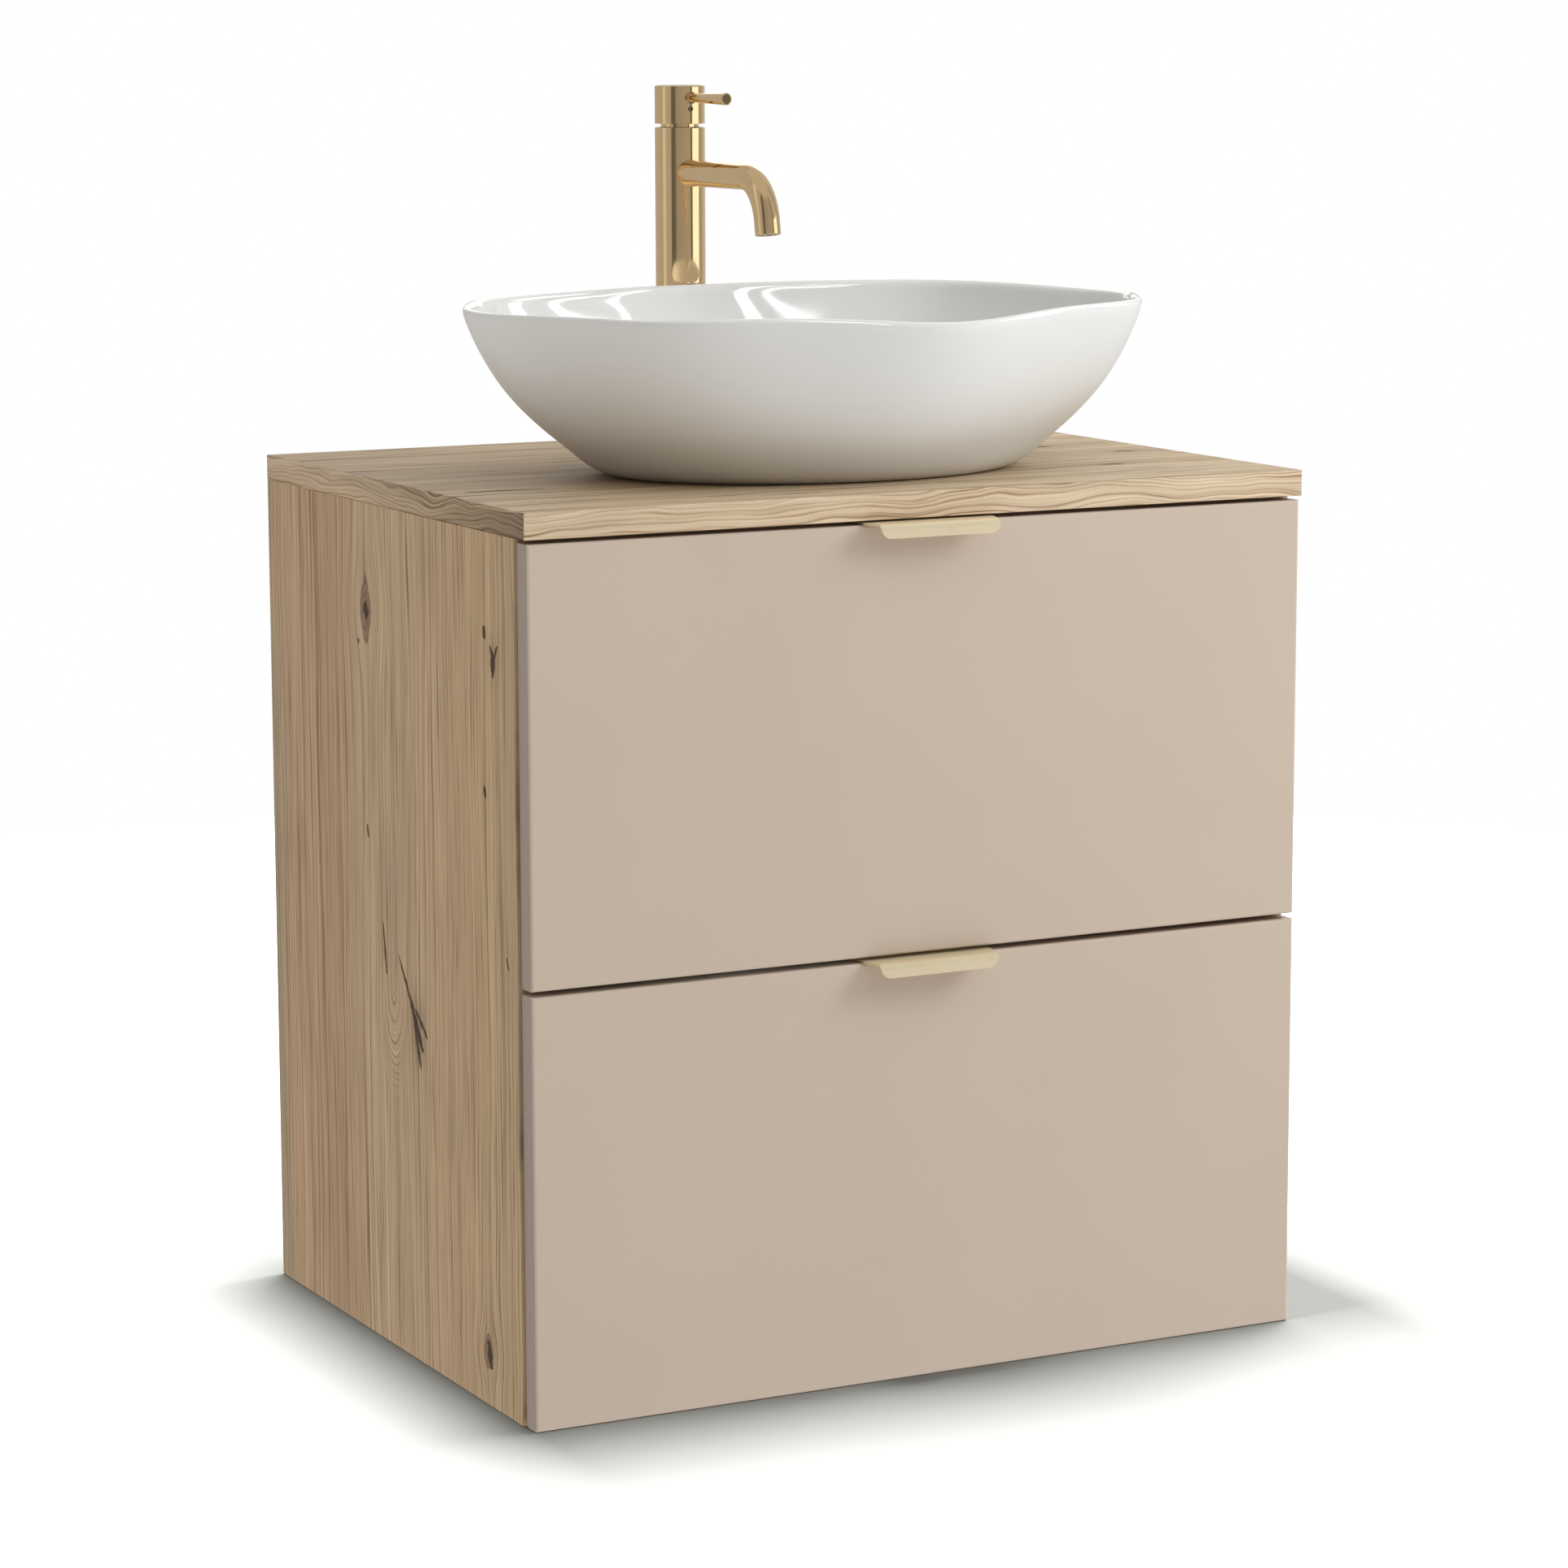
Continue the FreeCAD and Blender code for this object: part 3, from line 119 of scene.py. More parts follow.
class Graph:
    """The nodes of one material or of the world, with short names for the kinds used here."""

    def __init__(self, tree):
        self.tree = tree

    def put(self, socket, value):
        if isinstance(value, Field):
            value = value.socket
        if isinstance(value, bpy.types.NodeSocket):
            self.tree.links.new(value, socket)
        elif isinstance(value, tuple) and socket.type == "RGBA":
            socket.default_value = (*value, 1.0)
        else:
            socket.default_value = value

    def add(self, kind, inputs, **settings):
        node = self.tree.nodes.new(kind)
        for name, value in settings.items():
            setattr(node, name, value)
        for name, value in inputs.items():
            self.put(node.inputs[name], value)
        return node

    def math(self, operation, *values):
        node = self.add("ShaderNodeMath", dict(enumerate(values)), operation=operation)
        return Field(self, node.outputs[0])

    def smooth(self, value, low, high):
        inputs = {"Value": value, "From Min": low, "From Max": high}
        node = self.add("ShaderNodeMapRange", inputs, interpolation_type="SMOOTHSTEP")
        return Field(self, node.outputs[0])

    def noise(self, x, y=0.0, z=0.0, detail=2.0, roughness=0.5):
        """Noise about 0, mostly within -1 and 1, with features about one unit wide."""
        place = self.add("ShaderNodeCombineXYZ", {"X": x, "Y": y, "Z": z}).outputs[0]
        inputs = {"Vector": place, "Scale": 1.0, "Detail": detail, "Roughness": roughness}
        return (Field(self, self.add("ShaderNodeTexNoise", inputs).outputs[0]) - 0.5) * NOISE_SPREAD

    def mix(self, first, second, share, blend="MIX"):
        """The first colour turning into the second as share goes from 0 to 1."""
        inputs = {0: share, 6: first, 7: second}
        return self.add("ShaderNodeMix", inputs, data_type="RGBA", blend_type=blend).outputs[2]

    def ramp(self, value, stops, interpolation="EASE"):
        """A colour from stops of (place, colour), with the places rising from 0 to 1."""
        node = self.add("ShaderNodeValToRGB", {"Fac": value})
        ramp = node.color_ramp
        ramp.interpolation = interpolation
        while len(ramp.elements) < len(stops):
            ramp.elements.new(0.5)
        for element, (place, colour) in zip(ramp.elements, stops):
            element.position = place
            element.color = (*colour, 1.0)
        return node.outputs[0]

    def split(self, vector):
        node = self.add("ShaderNodeSeparateXYZ", {0: vector})
        return [Field(self, output) for output in node.outputs]


class Material(Graph):
    """A Principled material. Its x, y and z are the point on the object in millimetres."""

    def __init__(self, name):
        self.material = bpy.data.materials.new(name)
        self.material.use_nodes = True
        super().__init__(self.material.node_tree)
        self.surface = self.tree.nodes["Principled BSDF"]
        coordinates = self.add("ShaderNodeTexCoord", {})
        self.x, self.y, self.z = [part * (1 / MM) for part in self.split(coordinates.outputs["Object"])]
        self.facing = self.split(coordinates.outputs["Normal"])

    def finish(self, colour, roughness, height=None, depth_mm=0.05, **settings):
        """Connects the surface. Height runs from about 0 to 1 and stands for depth_mm."""
        self.put(self.surface.inputs["Base Color"], colour)
        self.put(self.surface.inputs["Roughness"], roughness)
        if height is not None:
            bump = self.add("ShaderNodeBump", {"Height": height, "Distance": depth_mm * MM, "Strength": 1.0})
            self.put(self.surface.inputs["Normal"], bump.outputs[0])
        for name, value in settings.items():
            self.put(self.surface.inputs[name.replace("_", " ")], value)
        return self.material


# ---------------------------------------------------------------- oak

HONEY = (0.61, 0.46, 0.30)
TAN = (0.57, 0.445, 0.30)
OLIVE = (0.48, 0.395, 0.275)
SHADED_OAK = (0.42, 0.345, 0.23)
# brown of the stains round the cracks, and also of the painted shade over the worktop's left end
STAIN_AND_SHADE_BROWN = (0.15, 0.100, 0.066)
HOLE_BROWN = (0.066, 0.035, 0.018)
KNOT_LIGHT = (0.31, 0.20, 0.125)
KNOT_DARK = (0.18, 0.105, 0.062)

# tints that the oak's colour is multiplied by
DARK_LINES = (0.44, 0.385, 0.325)
DARK_EDGING_LINES = (0.47, 0.35, 0.255)
MIDDLE_LINES = (0.90, 0.88, 0.86)
LIGHT_LINES = (1.22, 1.24, 1.27)

# lightness through one growth ring
GROWTH_RING = [(0.0, 0.42), (0.30, 0.62), (0.58, 0.80), (0.70, 0.55), (0.82, 0.02), (0.92, 0.16), (1.0, 0.42)]

# the side's colours from its front edge to its back edge, in millimetres along Y
SIDE_TONES = {"from": -203.0, "to": 239.0, "stops": [
    (0.0, (0.50, 0.37, 0.23)), (0.08, (0.55, 0.39, 0.23)), (0.22, (0.57, 0.39, 0.23)),
    (0.36, (0.59, 0.41, 0.25)), (0.47, (0.59, 0.42, 0.26)), (0.58, (0.57, 0.41, 0.25)),
    (0.68, (0.54, 0.36, 0.22)), (0.77, (0.51, 0.33, 0.20)), (0.85, (0.57, 0.38, 0.23)),
    (0.95, (0.55, 0.37, 0.23)), (1.0, (0.45, 0.34, 0.22))]}


def streak(m, across, along, start, end, width, wobble):
    """A dark slit from start to end, each given as (across, along), widest in its middle."""
    run = (end[0] - start[0], end[1] - start[1])
    length = math.hypot(*run)
    da = across - start[0]
    dl = along - start[1]
    t = (da * run[0] + dl * run[1]) / length ** 2
    off = (da * run[1] - dl * run[0]) / length + wobble
    taper = (t * (1.0 - t)) * 4.0
    reach = m.math("SQRT", m.math("MAXIMUM", taper, 0.0)) * width + 0.001
    return m.smooth(m.math("ABSOLUTE", off) / reach, 1.0, 0.35) * m.smooth(taper, 0.0, 0.1)


def oak(name, across, along, seed, tones, bands=(60.0, 900.0), ring=5.2, wander=1.0, sway=0.0, contrast=1.0,
        coarse=1.0, dark=DARK_LINES, knots=(), streaks=(), stains_and_shade=(), heart=None, raw=False):
    """Oak laminate. Growth lines run along one axis, wander, sway, and part round the knots.

    Knots are (across, along, half width, half length), streaks (start, end, width), the brown patches
    (across, along, half width, half length, strength) are stains round the cracks, except one on the
    worktop, which is painted shade, and heart (across, along, depth, stretch) is a nest of arcs that
    hang from a point. Dark is the tint of the dark lines.
    """
    m = Material(name)
    axes = {"X": m.x, "Y": m.y, "Z": m.z}
    a = axes[across]
    l = axes[along]
    drift = m.noise(a / 80.0, l / 300.0, seed) * (4.5 * wander)
    drift = drift + m.noise(a / 13.0, l / 75.0, seed + 3.1) * wander
    line = a + drift
    if sway:
        line = line + m.noise(a / 60.0, l / 120.0, seed + 53.0, detail=2.0) * sway
    for ka, kl, half_a, half_l in knots:
        da = a - ka
        near = da * da * (1 / (2.6 * half_a) ** 2) + (l - kl) * (l - kl) * (1 / (1.5 * half_l) ** 2)
        line = line - da * m.math("EXPONENT", near * -1.0) * 0.85

    def grain(line, pitch):
        """Growth rings, dark at the end of each, and finer lines between them."""
        phase = line / pitch + m.noise(line / 26.0, seed + 7.7) * 1.9
        phase = phase + m.noise(line / 9.0, l / 500.0, seed) * 0.5
        growth = m.ramp(m.math("FRACT", phase), [(place, (level,) * 3) for place, level in GROWTH_RING])
        fine = m.noise(line / (2.0 * coarse), l / 170.0, seed + 17.0, detail=3.0, roughness=0.6)
        return m.split(growth)[0] - 0.48, fine

    growth, fine = grain(line, ring)
    if heart:
        middle, top, depth, stretch = heart
        off = (a - middle) + m.noise(l / 60.0, seed) * 3.0
        below = m.math("MAXIMUM", (l - top) * -1.0, 0.0) / stretch
        nest = m.math("SQRT", off * off + below * below + 2.0) + drift * 0.5
        arcs, arcs_fine = grain(nest, ring * 0.42)
        within = off * off * (0.95 * stretch / depth) ** 2
        within = within + (l - (top - depth * 0.5)) ** 2.0 * (1.5 / depth) ** 2
        within = m.math("EXPONENT", within * within * -1.0)
        growth = growth + (arcs * 1.3 - growth) * within
        fine = fine + (arcs_fine * 0.9 - fine) * within
    strength = m.smooth(m.noise(a / 34.0, l / 520.0, seed + 11.3), -0.9, 0.9) * 0.75 + 0.25
    fibre = m.noise(a / 0.55, l / 26.0, seed + 23.0, detail=2.0)
    pores = m.smooth(m.noise(a / 0.5, l / 7.0, seed + 29.0), 0.55, 1.15)
    vein = m.smooth(m.noise(line / (3.0 * coarse), l / 130.0, seed + 37.0, detail=3.0), 0.25, 1.05)
    patch = m.noise(a / 9.0, l / 90.0, seed + 43.0, detail=2.0)
    lightness = growth * strength * (0.75 * contrast) + fine * (0.22 * contrast) + fibre * 0.06 + 0.60
    lightness = lightness - pores * 0.12 - vein * (0.45 * contrast) + patch * 0.12
    tone = m.noise(a / bands[0], l / bands[1], seed + 31.0, detail=3.0) * 0.36 + 0.5
    if isinstance(tones, dict):
        share = (a - tones["from"]) / (tones["to"] - tones["from"])
        share = share + m.noise(a / 26.0, l / 240.0, seed) * 0.07
        colour = m.ramp(share, tones["stops"])
        colour = m.mix(colour, SHADED_OAK, m.smooth(tone, 0.75, 0.30) * 0.22)
    else:
        colour = m.ramp(tone, [(0.0, tones[0]), (0.45, tones[1]), (1.0, tones[2])])
    tint = m.ramp(lightness, [(0.0, dark), (0.5, MIDDLE_LINES), (1.0, LIGHT_LINES)], "LINEAR")
    colour = m.mix(colour, tint, 1.0, "MULTIPLY")
    height = growth * 0.25 + fine * 0.10 - pores * 0.4 + 0.6

    stain_and_shade = 0.0
    # brown patches: stains round the cracks, and on the worktop painted shade over its left end
    for sa, sl, half_a, half_l, amount in stains_and_shade:
        d = (a - sa) * (a - sa) * (1 / half_a ** 2) + (l - sl) * (l - sl) * (1 / half_l ** 2)
        stain_and_shade = m.math("MAXIMUM", m.math("EXPONENT", d * -1.3) * amount, stain_and_shade)
    if stains_and_shade:
        stain_and_shade = stain_and_shade * m.smooth(fine + growth * -1.5, -1.2, 0.8)
        colour = m.mix(colour, STAIN_AND_SHADE_BROWN, stain_and_shade)
    hole = 0.0
    rough_edge = m.noise(a / 9.0, l / 14.0, seed + 41.0) * 0.22
    for ka, kl, half_a, half_l in knots:
        upright = m.math("ABSOLUTE", l - kl) * (1 / half_l)
        d = m.math("ABSOLUTE", (a - ka) / half_a) ** 1.6 + upright ** 1.35 + rough_edge
        rings = m.math("SINE", d * 17.0) * 0.5 + 0.5
        colour = m.mix(colour, m.mix(KNOT_LIGHT, KNOT_DARK, rings), d.smooth(1.08, 0.86) * 0.85)
        core = m.math("ABSOLUTE", (a - ka) / half_a + 0.15) * 2.2 + upright * 2.1 + rough_edge * 3.0
        hole = m.math("MAXIMUM", core.smooth(1.1, 0.55), hole)
    rough_side = m.noise(a / 6.0, l / 7.0, seed + 61.0)
    for start, end, width in streaks:
        slit = streak(m, a, l, start, end, width, rough_side * (0.30 * width + 0.12))
        hole = m.math("MAXIMUM", slit, hole)
    if knots or streaks:
        colour = m.mix(colour, HOLE_BROWN, hole * 0.95)
        height = height - hole * 2.0
    if raw:
        colour, height = with_raw_edges(m, colour, height)
    roughness = growth * -0.06 + pores * 0.10 + m.noise(a / 18.0, l / 90.0, seed + 5.0) * 0.03 + 0.60
    return m.finish(colour, roughness, height, depth_mm=0.09, Specular_IOR_Level=0.22)


def raw_chips(m):
    """The colour and height of raw chipboard."""
    chips = m.noise(m.x / 1.7, m.y / 1.9, m.z / 1.7, detail=4.0, roughness=0.62)
    flakes = m.ramp(chips * 0.5 + 0.5, [(0.0, (0.22, 0.14, 0.075)), (0.45, (0.44, 0.32, 0.19)),
                                        (0.75, (0.58, 0.45, 0.29)), (1.0, (0.70, 0.58, 0.42))])
    return flakes, chips


def chipboard():
    """The raw edges of the boards, where no laminate or band covers them."""
    m = Material("chipboard_core")
    flakes, chips = raw_chips(m)
    return m.finish(flakes, 0.82 + chips * 0.05, chips * 0.5 + 0.5, depth_mm=0.25, Specular_IOR_Level=0.2)


def with_raw_edges(m, colour, height):
    """Shows chipboard on the faces that look up, down or back, between the laminate skins."""
    flakes, chips = raw_chips(m)
    edge = m.math("MAXIMUM", m.math("ABSOLUTE", m.facing[2]), m.facing[1]).smooth(0.85, 0.97)
    return m.mix(colour, flakes, edge), height + edge * chips * 1.3


def side_oak(name, seed):
    """The print of a side panel, with two knots, a long crack and a nest of arcs beside it."""
    return oak(name, "Y", "Z", seed, SIDE_TONES, ring=6.4, contrast=1.35, coarse=1.15, raw=True,
               heart=(12.0, 262.0, 62.0, 2.4),
               knots=[(53.0, 524.0, 10.5, 25.0), (-147.0, 37.5, 8.0, 14.0)],
               streaks=[((3.0, 288.0), (-36.0, 234.0), 2.6), ((30.0, 306.0), (24.0, 268.0), 2.4),
                        ((-16.0, 262.0), (-40.0, 224.0), 4.6), ((-26.0, 254.0), (-48.0, 236.0), 2.6),
                        ((-24.0, 244.0), (-36.0, 212.0), 3.0), ((68.0, 503.0), (66.0, 499.0), 2.0),
                        ((-153.0, 537.0), (-156.0, 528.0), 3.8), ((-168.5, 521.0), (-168.0, 503.0), 4.6),
                        ((-163.5, 525.0), (-168.5, 516.0), 2.6), ((-176.0, 526.0), (-171.0, 517.0), 2.4),
                        ((-151.0, 429.0), (-154.0, 420.0), 3.0), ((-147.0, 46.0), (-152.0, 26.0), 5.5),
                        ((56.0, 372.0), (54.0, 362.0), 2.2), ((-185.0, 318.0), (-189.0, 309.0), 1.8)],
               stains_and_shade=[(-32.0, 238.0, 14.0, 30.0, 1.0), (12.0, 330.0, 40.0, 60.0, 0.22),
                        (-88.0, 176.0, 8.0, 30.0, 0.40), (-147.0, 42.0, 13.0, 26.0, 0.50),
                        (54.0, 545.0, 12.0, 40.0, 0.45), (44.0, 440.0, 9.0, 60.0, 0.40),
                        (-168.0, 517.0, 12.0, 18.0, 0.60)])


def worktop_oak(name):
    """The print of the worktop, with a few short cracks, and painted shade darkening its left end."""
    return oak(name, "Y", "X", 4.0, [OLIVE, TAN, HONEY], bands=(40.0, 420.0), ring=24.0, wander=3.0,
               contrast=1.35, coarse=2.2,
               streaks=[((-81.0, -283.0), (-84.0, -222.0), 4.5), ((21.0, 210.0), (19.0, 236.0), 3.5),
                        ((-36.0, 256.0), (-38.0, 274.0), 3.5), ((-119.0, 196.0), (-121.0, 214.0), 3.0)],
               stains_and_shade=[(-82.0, -250.0, 9.0, 45.0, 0.55), (20.0, 222.0, 9.0, 26.0, 0.55),
                        (-37.0, 264.0, 9.0, 20.0, 0.5), (-189.0, 209.0, 8.0, 22.0, 0.4),
                        # painted shade: this last patch darkens the left end of the worktop
                        (0.0, -310.0, 400.0, 160.0, 0.42)])


def edging_oak(name, across, along, seed, tones):
    """The print of an edge band, with narrow rings that sway."""
    return oak(name, across, along, seed, tones, bands=(30.0, 300.0), ring=3.6, wander=1.1, sway=8.0,
               contrast=1.35, dark=DARK_EDGING_LINES)


# ---------------------------------------------------------------- other materials

LACQUER = [(0.600, 0.492, 0.405), (0.622, 0.516, 0.424)]
# painted shade: a darker colour for the fronts' side faces, standing for the shade in the gaps beside them
LACQUER_SIDE_SHADE = (0.40, 0.315, 0.265)
GLAZE_WHITE = [(0.775, 0.772, 0.760), (0.790, 0.788, 0.778)]
GLAZE_PINHOLE = (0.62, 0.60, 0.56)
GRAIN_STRETCH = 30.0


def lacquer():
    m = Material("taupe_lacquer")
    peel = m.noise(m.x / 1.6, m.y / 1.6, m.z / 1.6, detail=2.0)
    cloud = m.noise(m.x / 150.0, m.y / 150.0, m.z / 150.0, detail=3.0)
    speck = m.noise(m.x / 0.5, m.y / 0.5, m.z / 0.5)
    colour = m.mix(*LACQUER, cloud * 0.5 + 0.5 + speck * 0.25)
    # painted shade on the side faces of the fronts, which face the gaps beside the side panels
    rim = m.math("ABSOLUTE", m.facing[0]).smooth(0.85, 0.97)
    colour = m.mix(colour, LACQUER_SIDE_SHADE, rim)
    return m.finish(colour, 0.44 + cloud * 0.03 + peel * 0.015, peel * 0.5 + 0.5, depth_mm=0.012,
                    Specular_IOR_Level=0.42)


def glaze():
    """White glaze, polished inside and on the lip and duller on the flared underside."""
    m = Material("white_glaze")
    swell = m.noise(m.x / 55.0, m.y / 55.0, m.z / 55.0, detail=1.0)
    dimple = m.noise(m.x / 7.0, m.y / 7.0, m.z / 7.0)
    cloud = m.noise(m.x / 90.0, m.y / 90.0, m.z / 90.0, detail=3.0)
    pin = m.noise(m.x / 1.1, m.y / 1.1, m.z / 1.1).smooth(1.45, 1.6)
    colour = m.mix(*GLAZE_WHITE, cloud * 0.5 + 0.5)
    colour = m.mix(colour, GLAZE_PINHOLE, pin * 0.35)
    height = swell * 0.5 + dimple * 0.02 - pin * 0.05 + 0.5
    underside = m.facing[2].smooth(0.15, -0.15)
    roughness = underside * 0.25 + dimple * 0.008 + 0.05
    return m.finish(colour, roughness, height, depth_mm=0.06, Specular_IOR_Level=0.5)


def metal(name, colour, worn, roughness, grain, grain_axis="Z", depth_mm=0.004, spread=0.05, metallic=1.0):
    """A metal with fine marks along one axis, each grain millimetres wide."""
    m = Material(name)
    place = [axis / (grain * (GRAIN_STRETCH if letter == grain_axis else 1.0))
             for axis, letter in zip((m.x, m.y, m.z), "XYZ")]
    marks = m.noise(*place, detail=3.0, roughness=0.6)
    cloud = m.noise(m.x / 17.0, m.y / 17.0, m.z / 17.0, detail=3.0)
    smear = m.noise(m.x / 5.0, m.y / 5.0, m.z / 9.0, detail=3.0).smooth(0.1, 1.1)
    shade = m.mix(colour, worn, cloud * 0.3 + 0.35 + marks * 0.12)
    rough = roughness + cloud * spread * 0.5 + marks * spread * 0.4 + smear * spread
    return m.finish(shade, rough, marks * 0.5 + 0.5, depth_mm=depth_mm, Metallic=metallic)


def plastic(name, colour, roughness, specular=0.45):
    m = Material(name)
    pebble = m.noise(m.x / 0.8, m.y / 0.8, m.z / 0.8, detail=2.0)
    flow = m.noise(m.x / 22.0, m.y / 22.0, m.z / 22.0, detail=3.0)
    darker = tuple(part * 0.88 for part in colour)
    shade = m.mix(darker, colour, flow * 0.5 + 0.6)
    return m.finish(shade, roughness + flow * 0.05 + pebble * 0.02, pebble * 0.5 + 0.5, depth_mm=0.02,
                    Specular_IOR_Level=specular)


def board(name, light, dark):
    """Melamine with a woven print."""
    m = Material(name)
    weave = m.math("SINE", m.y * 2.4) * m.math("SINE", m.z * 2.4 + m.x * 2.4)
    thread = m.noise(m.x / 3.0, m.y / 26.0, m.z / 3.0, detail=3.0)
    cloud = m.noise(m.x / 70.0, m.y / 70.0, m.z / 70.0, detail=3.0)
    colour = m.mix(dark, light, weave * 0.12 + thread * 0.28 + cloud * 0.15 + 0.5)
    return m.finish(colour, 0.56 + thread * 0.05, weave * 0.15 + thread * 0.2 + 0.5, depth_mm=0.05,
                    Specular_IOR_Level=0.35)


def zinc(name, colour, roughness):
    return metal(name, colour, tuple(part * 0.80 for part in colour), roughness, 0.6, "Y", spread=0.10)


chipboard_core = chipboard()
side_left_oak = side_oak("oak_side_left", 1.0)
side_right_oak = side_oak("oak_side_right", 57.0)
front_edge_oak = edging_oak("oak_edge_front", "Z", "X", 9.0,
                            [(0.64, 0.49, 0.33), (0.68, 0.53, 0.37), (0.72, 0.57, 0.41)])
side_edge_oak = edging_oak("oak_edge_side", "Z", "Y", 15.0,
                           [(0.54, 0.42, 0.29), (0.60, 0.46, 0.31), (0.64, 0.49, 0.32)])

MATERIALS = {
    "side_laminate": side_left_oak,
    "worktop_laminate": worktop_oak("oak_worktop"),
    "edge_banding": front_edge_oak,
    "carcass_board": oak("oak_carcass", "Z", "X", 21.0, [OLIVE, TAN, HONEY], bands=(60.0, 700.0)),
    "front_lacquer": lacquer(),
    "handle_brass": metal("champagne_satin", (0.91, 0.79, 0.55), (0.85, 0.73, 0.50), 0.42, 0.25, "X",
                          depth_mm=0.006, metallic=0.5),
    "drawer_board": board("melamine_board", (0.66, 0.64, 0.60), (0.55, 0.53, 0.49)),
    "runner_steel": zinc("zinc_runner", (0.66, 0.67, 0.69), 0.28),
    "zinc_steel": zinc("bright_zinc", (0.64, 0.65, 0.67), 0.24),
    "basin_glaze": glaze(),
    "rubber_seal": plastic("black_rubber", (0.035, 0.035, 0.035), 0.70, 0.3),
    "waste_gold": metal("brushed_gold", (0.86, 0.66, 0.36), (0.78, 0.58, 0.31), 0.20, 0.3, ""),
    "trap_plastic": plastic("white_polypropylene", (0.80, 0.80, 0.78), 0.36),
    "cartridge_plastic": plastic("grey_nylon", (0.22, 0.24, 0.27), 0.45),
    "aerator_plastic": plastic("white_acetal", (0.74, 0.74, 0.71), 0.35),
    "tap_inner_steel": metal("turned_steel", (0.50, 0.50, 0.51), (0.40, 0.40, 0.41), 0.25, 0.2, ""),
    "raw_brass": metal("machined_brass", (0.72, 0.56, 0.29), (0.60, 0.45, 0.22), 0.30, 0.3, ""),
    "tap_gold": metal("polished_gold", (0.88, 0.65, 0.37), (0.84, 0.60, 0.33), 0.055, 0.35, "Z",
                      depth_mm=0.0008, spread=0.03),
}
SLOT_OF = {part["node"]: part["material_slot"] for part in frame["record"]["subparts"]}

for node_name, node in nodes.items():
    node.material_slots[0].material = MATERIALS[SLOT_OF[node_name]]
# the collar shows as a ring between the tap's body and its cap
nodes["tap_swivel_collar"].material_slots[0].material = MATERIALS["tap_gold"]


# ---------------------------------------------------------------- pieces

NEAR = 1e-5
FRONT_BAND = 1.0001 * MM


def add_piece(name, mesh, materials, body, replaced):
    """Makes an object of a bmesh, which rides on a body and stands for some of the CAD's nodes."""
    data = bpy.data.meshes.new(name)
    mesh.to_mesh(data)
    mesh.free()
    for material in materials:
        data.materials.append(material)
    piece = bpy.data.objects.new(name, data)
    bpy.context.scene.collection.objects.link(piece)
    data.shade_smooth()
    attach(piece, body)
    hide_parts(*replaced)
    return piece


def outer_edges(mesh):
    """The edges that run along the mesh's own box."""
    points = np.array([v.co for v in mesh.verts])
    low = points.min(0)
    high = points.max(0)

    def planes(v):
        found = set()
        for axis in range(3):
            if abs(v.co[axis] - low[axis]) < NEAR:
                found.add((axis, 0))
            if abs(v.co[axis] - high[axis]) < NEAR:
                found.add((axis, 1))
        return found

    return [e for e in mesh.edges if len(planes(e.verts[0]) & planes(e.verts[1])) >= 2]


def welded_copy(node):
    """A CAD node's mesh, with no doubled points and no edges across its flat faces."""
    mesh = bmesh.new()
    mesh.from_mesh(nodes[node].data)
    bmesh.ops.remove_doubles(mesh, verts=mesh.verts, dist=1e-6)
    bmesh.ops.dissolve_limit(mesh, angle_limit=math.radians(0.5), verts=mesh.verts, edges=mesh.edges)
    return mesh


def round_edges(mesh, edges, width_mm, segments):
    bmesh.ops.bevel(mesh, geom=edges, offset=width_mm * MM, segments=segments, profile=0.5, affect="EDGES",
                    clamp_overlap=True)
    mesh.normal_update()


def keep_flat(piece, weight):
    """Shades the large faces flat, so that only the rounded edges look round."""
    weighted = piece.modifiers.new("flat_faces_stay_flat", "WEIGHTED_NORMAL")
    weighted.keep_sharp = True
    weighted.weight = weight


def soften(node, width_mm, segments, materials, choose=None):
    """Replaces a CAD board by a copy with its outer edges rounded. choose gives a face's material."""
    mesh = welded_copy(node)
    round_edges(mesh, outer_edges(mesh), width_mm, segments)
    if choose:
        for face in mesh.faces:
            face.material_index = choose(face)
    piece = add_piece(node + "_soft", mesh, materials, nodes[node]["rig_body"], [node])
    keep_flat(piece, weight=100)


def soften_raw_edged(name, slot):
    """Laminate on a board's two large faces and its front edge, and chipboard on the other edges."""
    low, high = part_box(name)
    size = high - low
    thin = min(range(3), key=lambda axis: size[axis])
    soften(name, 0.35, 2, [MATERIALS[slot], chipboard_core],
           choose=lambda face: int(abs(face.normal[thin]) < 0.9 and face.normal.y > -0.9))


def soften_edging():
    """The three edge bands, with the front one in its own lighter print."""
    mesh = welded_copy("worktop_edging")
    low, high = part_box("worktop_edging")
    outer = []
    for edge in mesh.edges:
        middle = (edge.verts[0].co + edge.verts[1].co) / 2
        at_side = abs(abs(middle.x) - high.x) < NEAR
        at_front = abs(middle.y - low.y) < NEAR
        level = abs(middle.z - high.z) < NEAR or abs(middle.z - low.z) < NEAR
        long_one = level and edge.calc_length() > 50 * MM
        upright = abs(edge.verts[0].co.z - edge.verts[1].co.z) > 5 * MM
        if (long_one and (at_side or at_front)) or (upright and at_side and at_front):
            outer.append(edge)
    round_edges(mesh, outer, 0.6, 3)
    for face in mesh.faces:
        face.material_index = 0 if face.calc_center_median().y < low.y + FRONT_BAND else 1
    piece = add_piece("worktop_edging_soft", mesh, [front_edge_oak, side_edge_oak], "cabinet",
                      ["worktop_edging"])
    keep_flat(piece, weight=50)


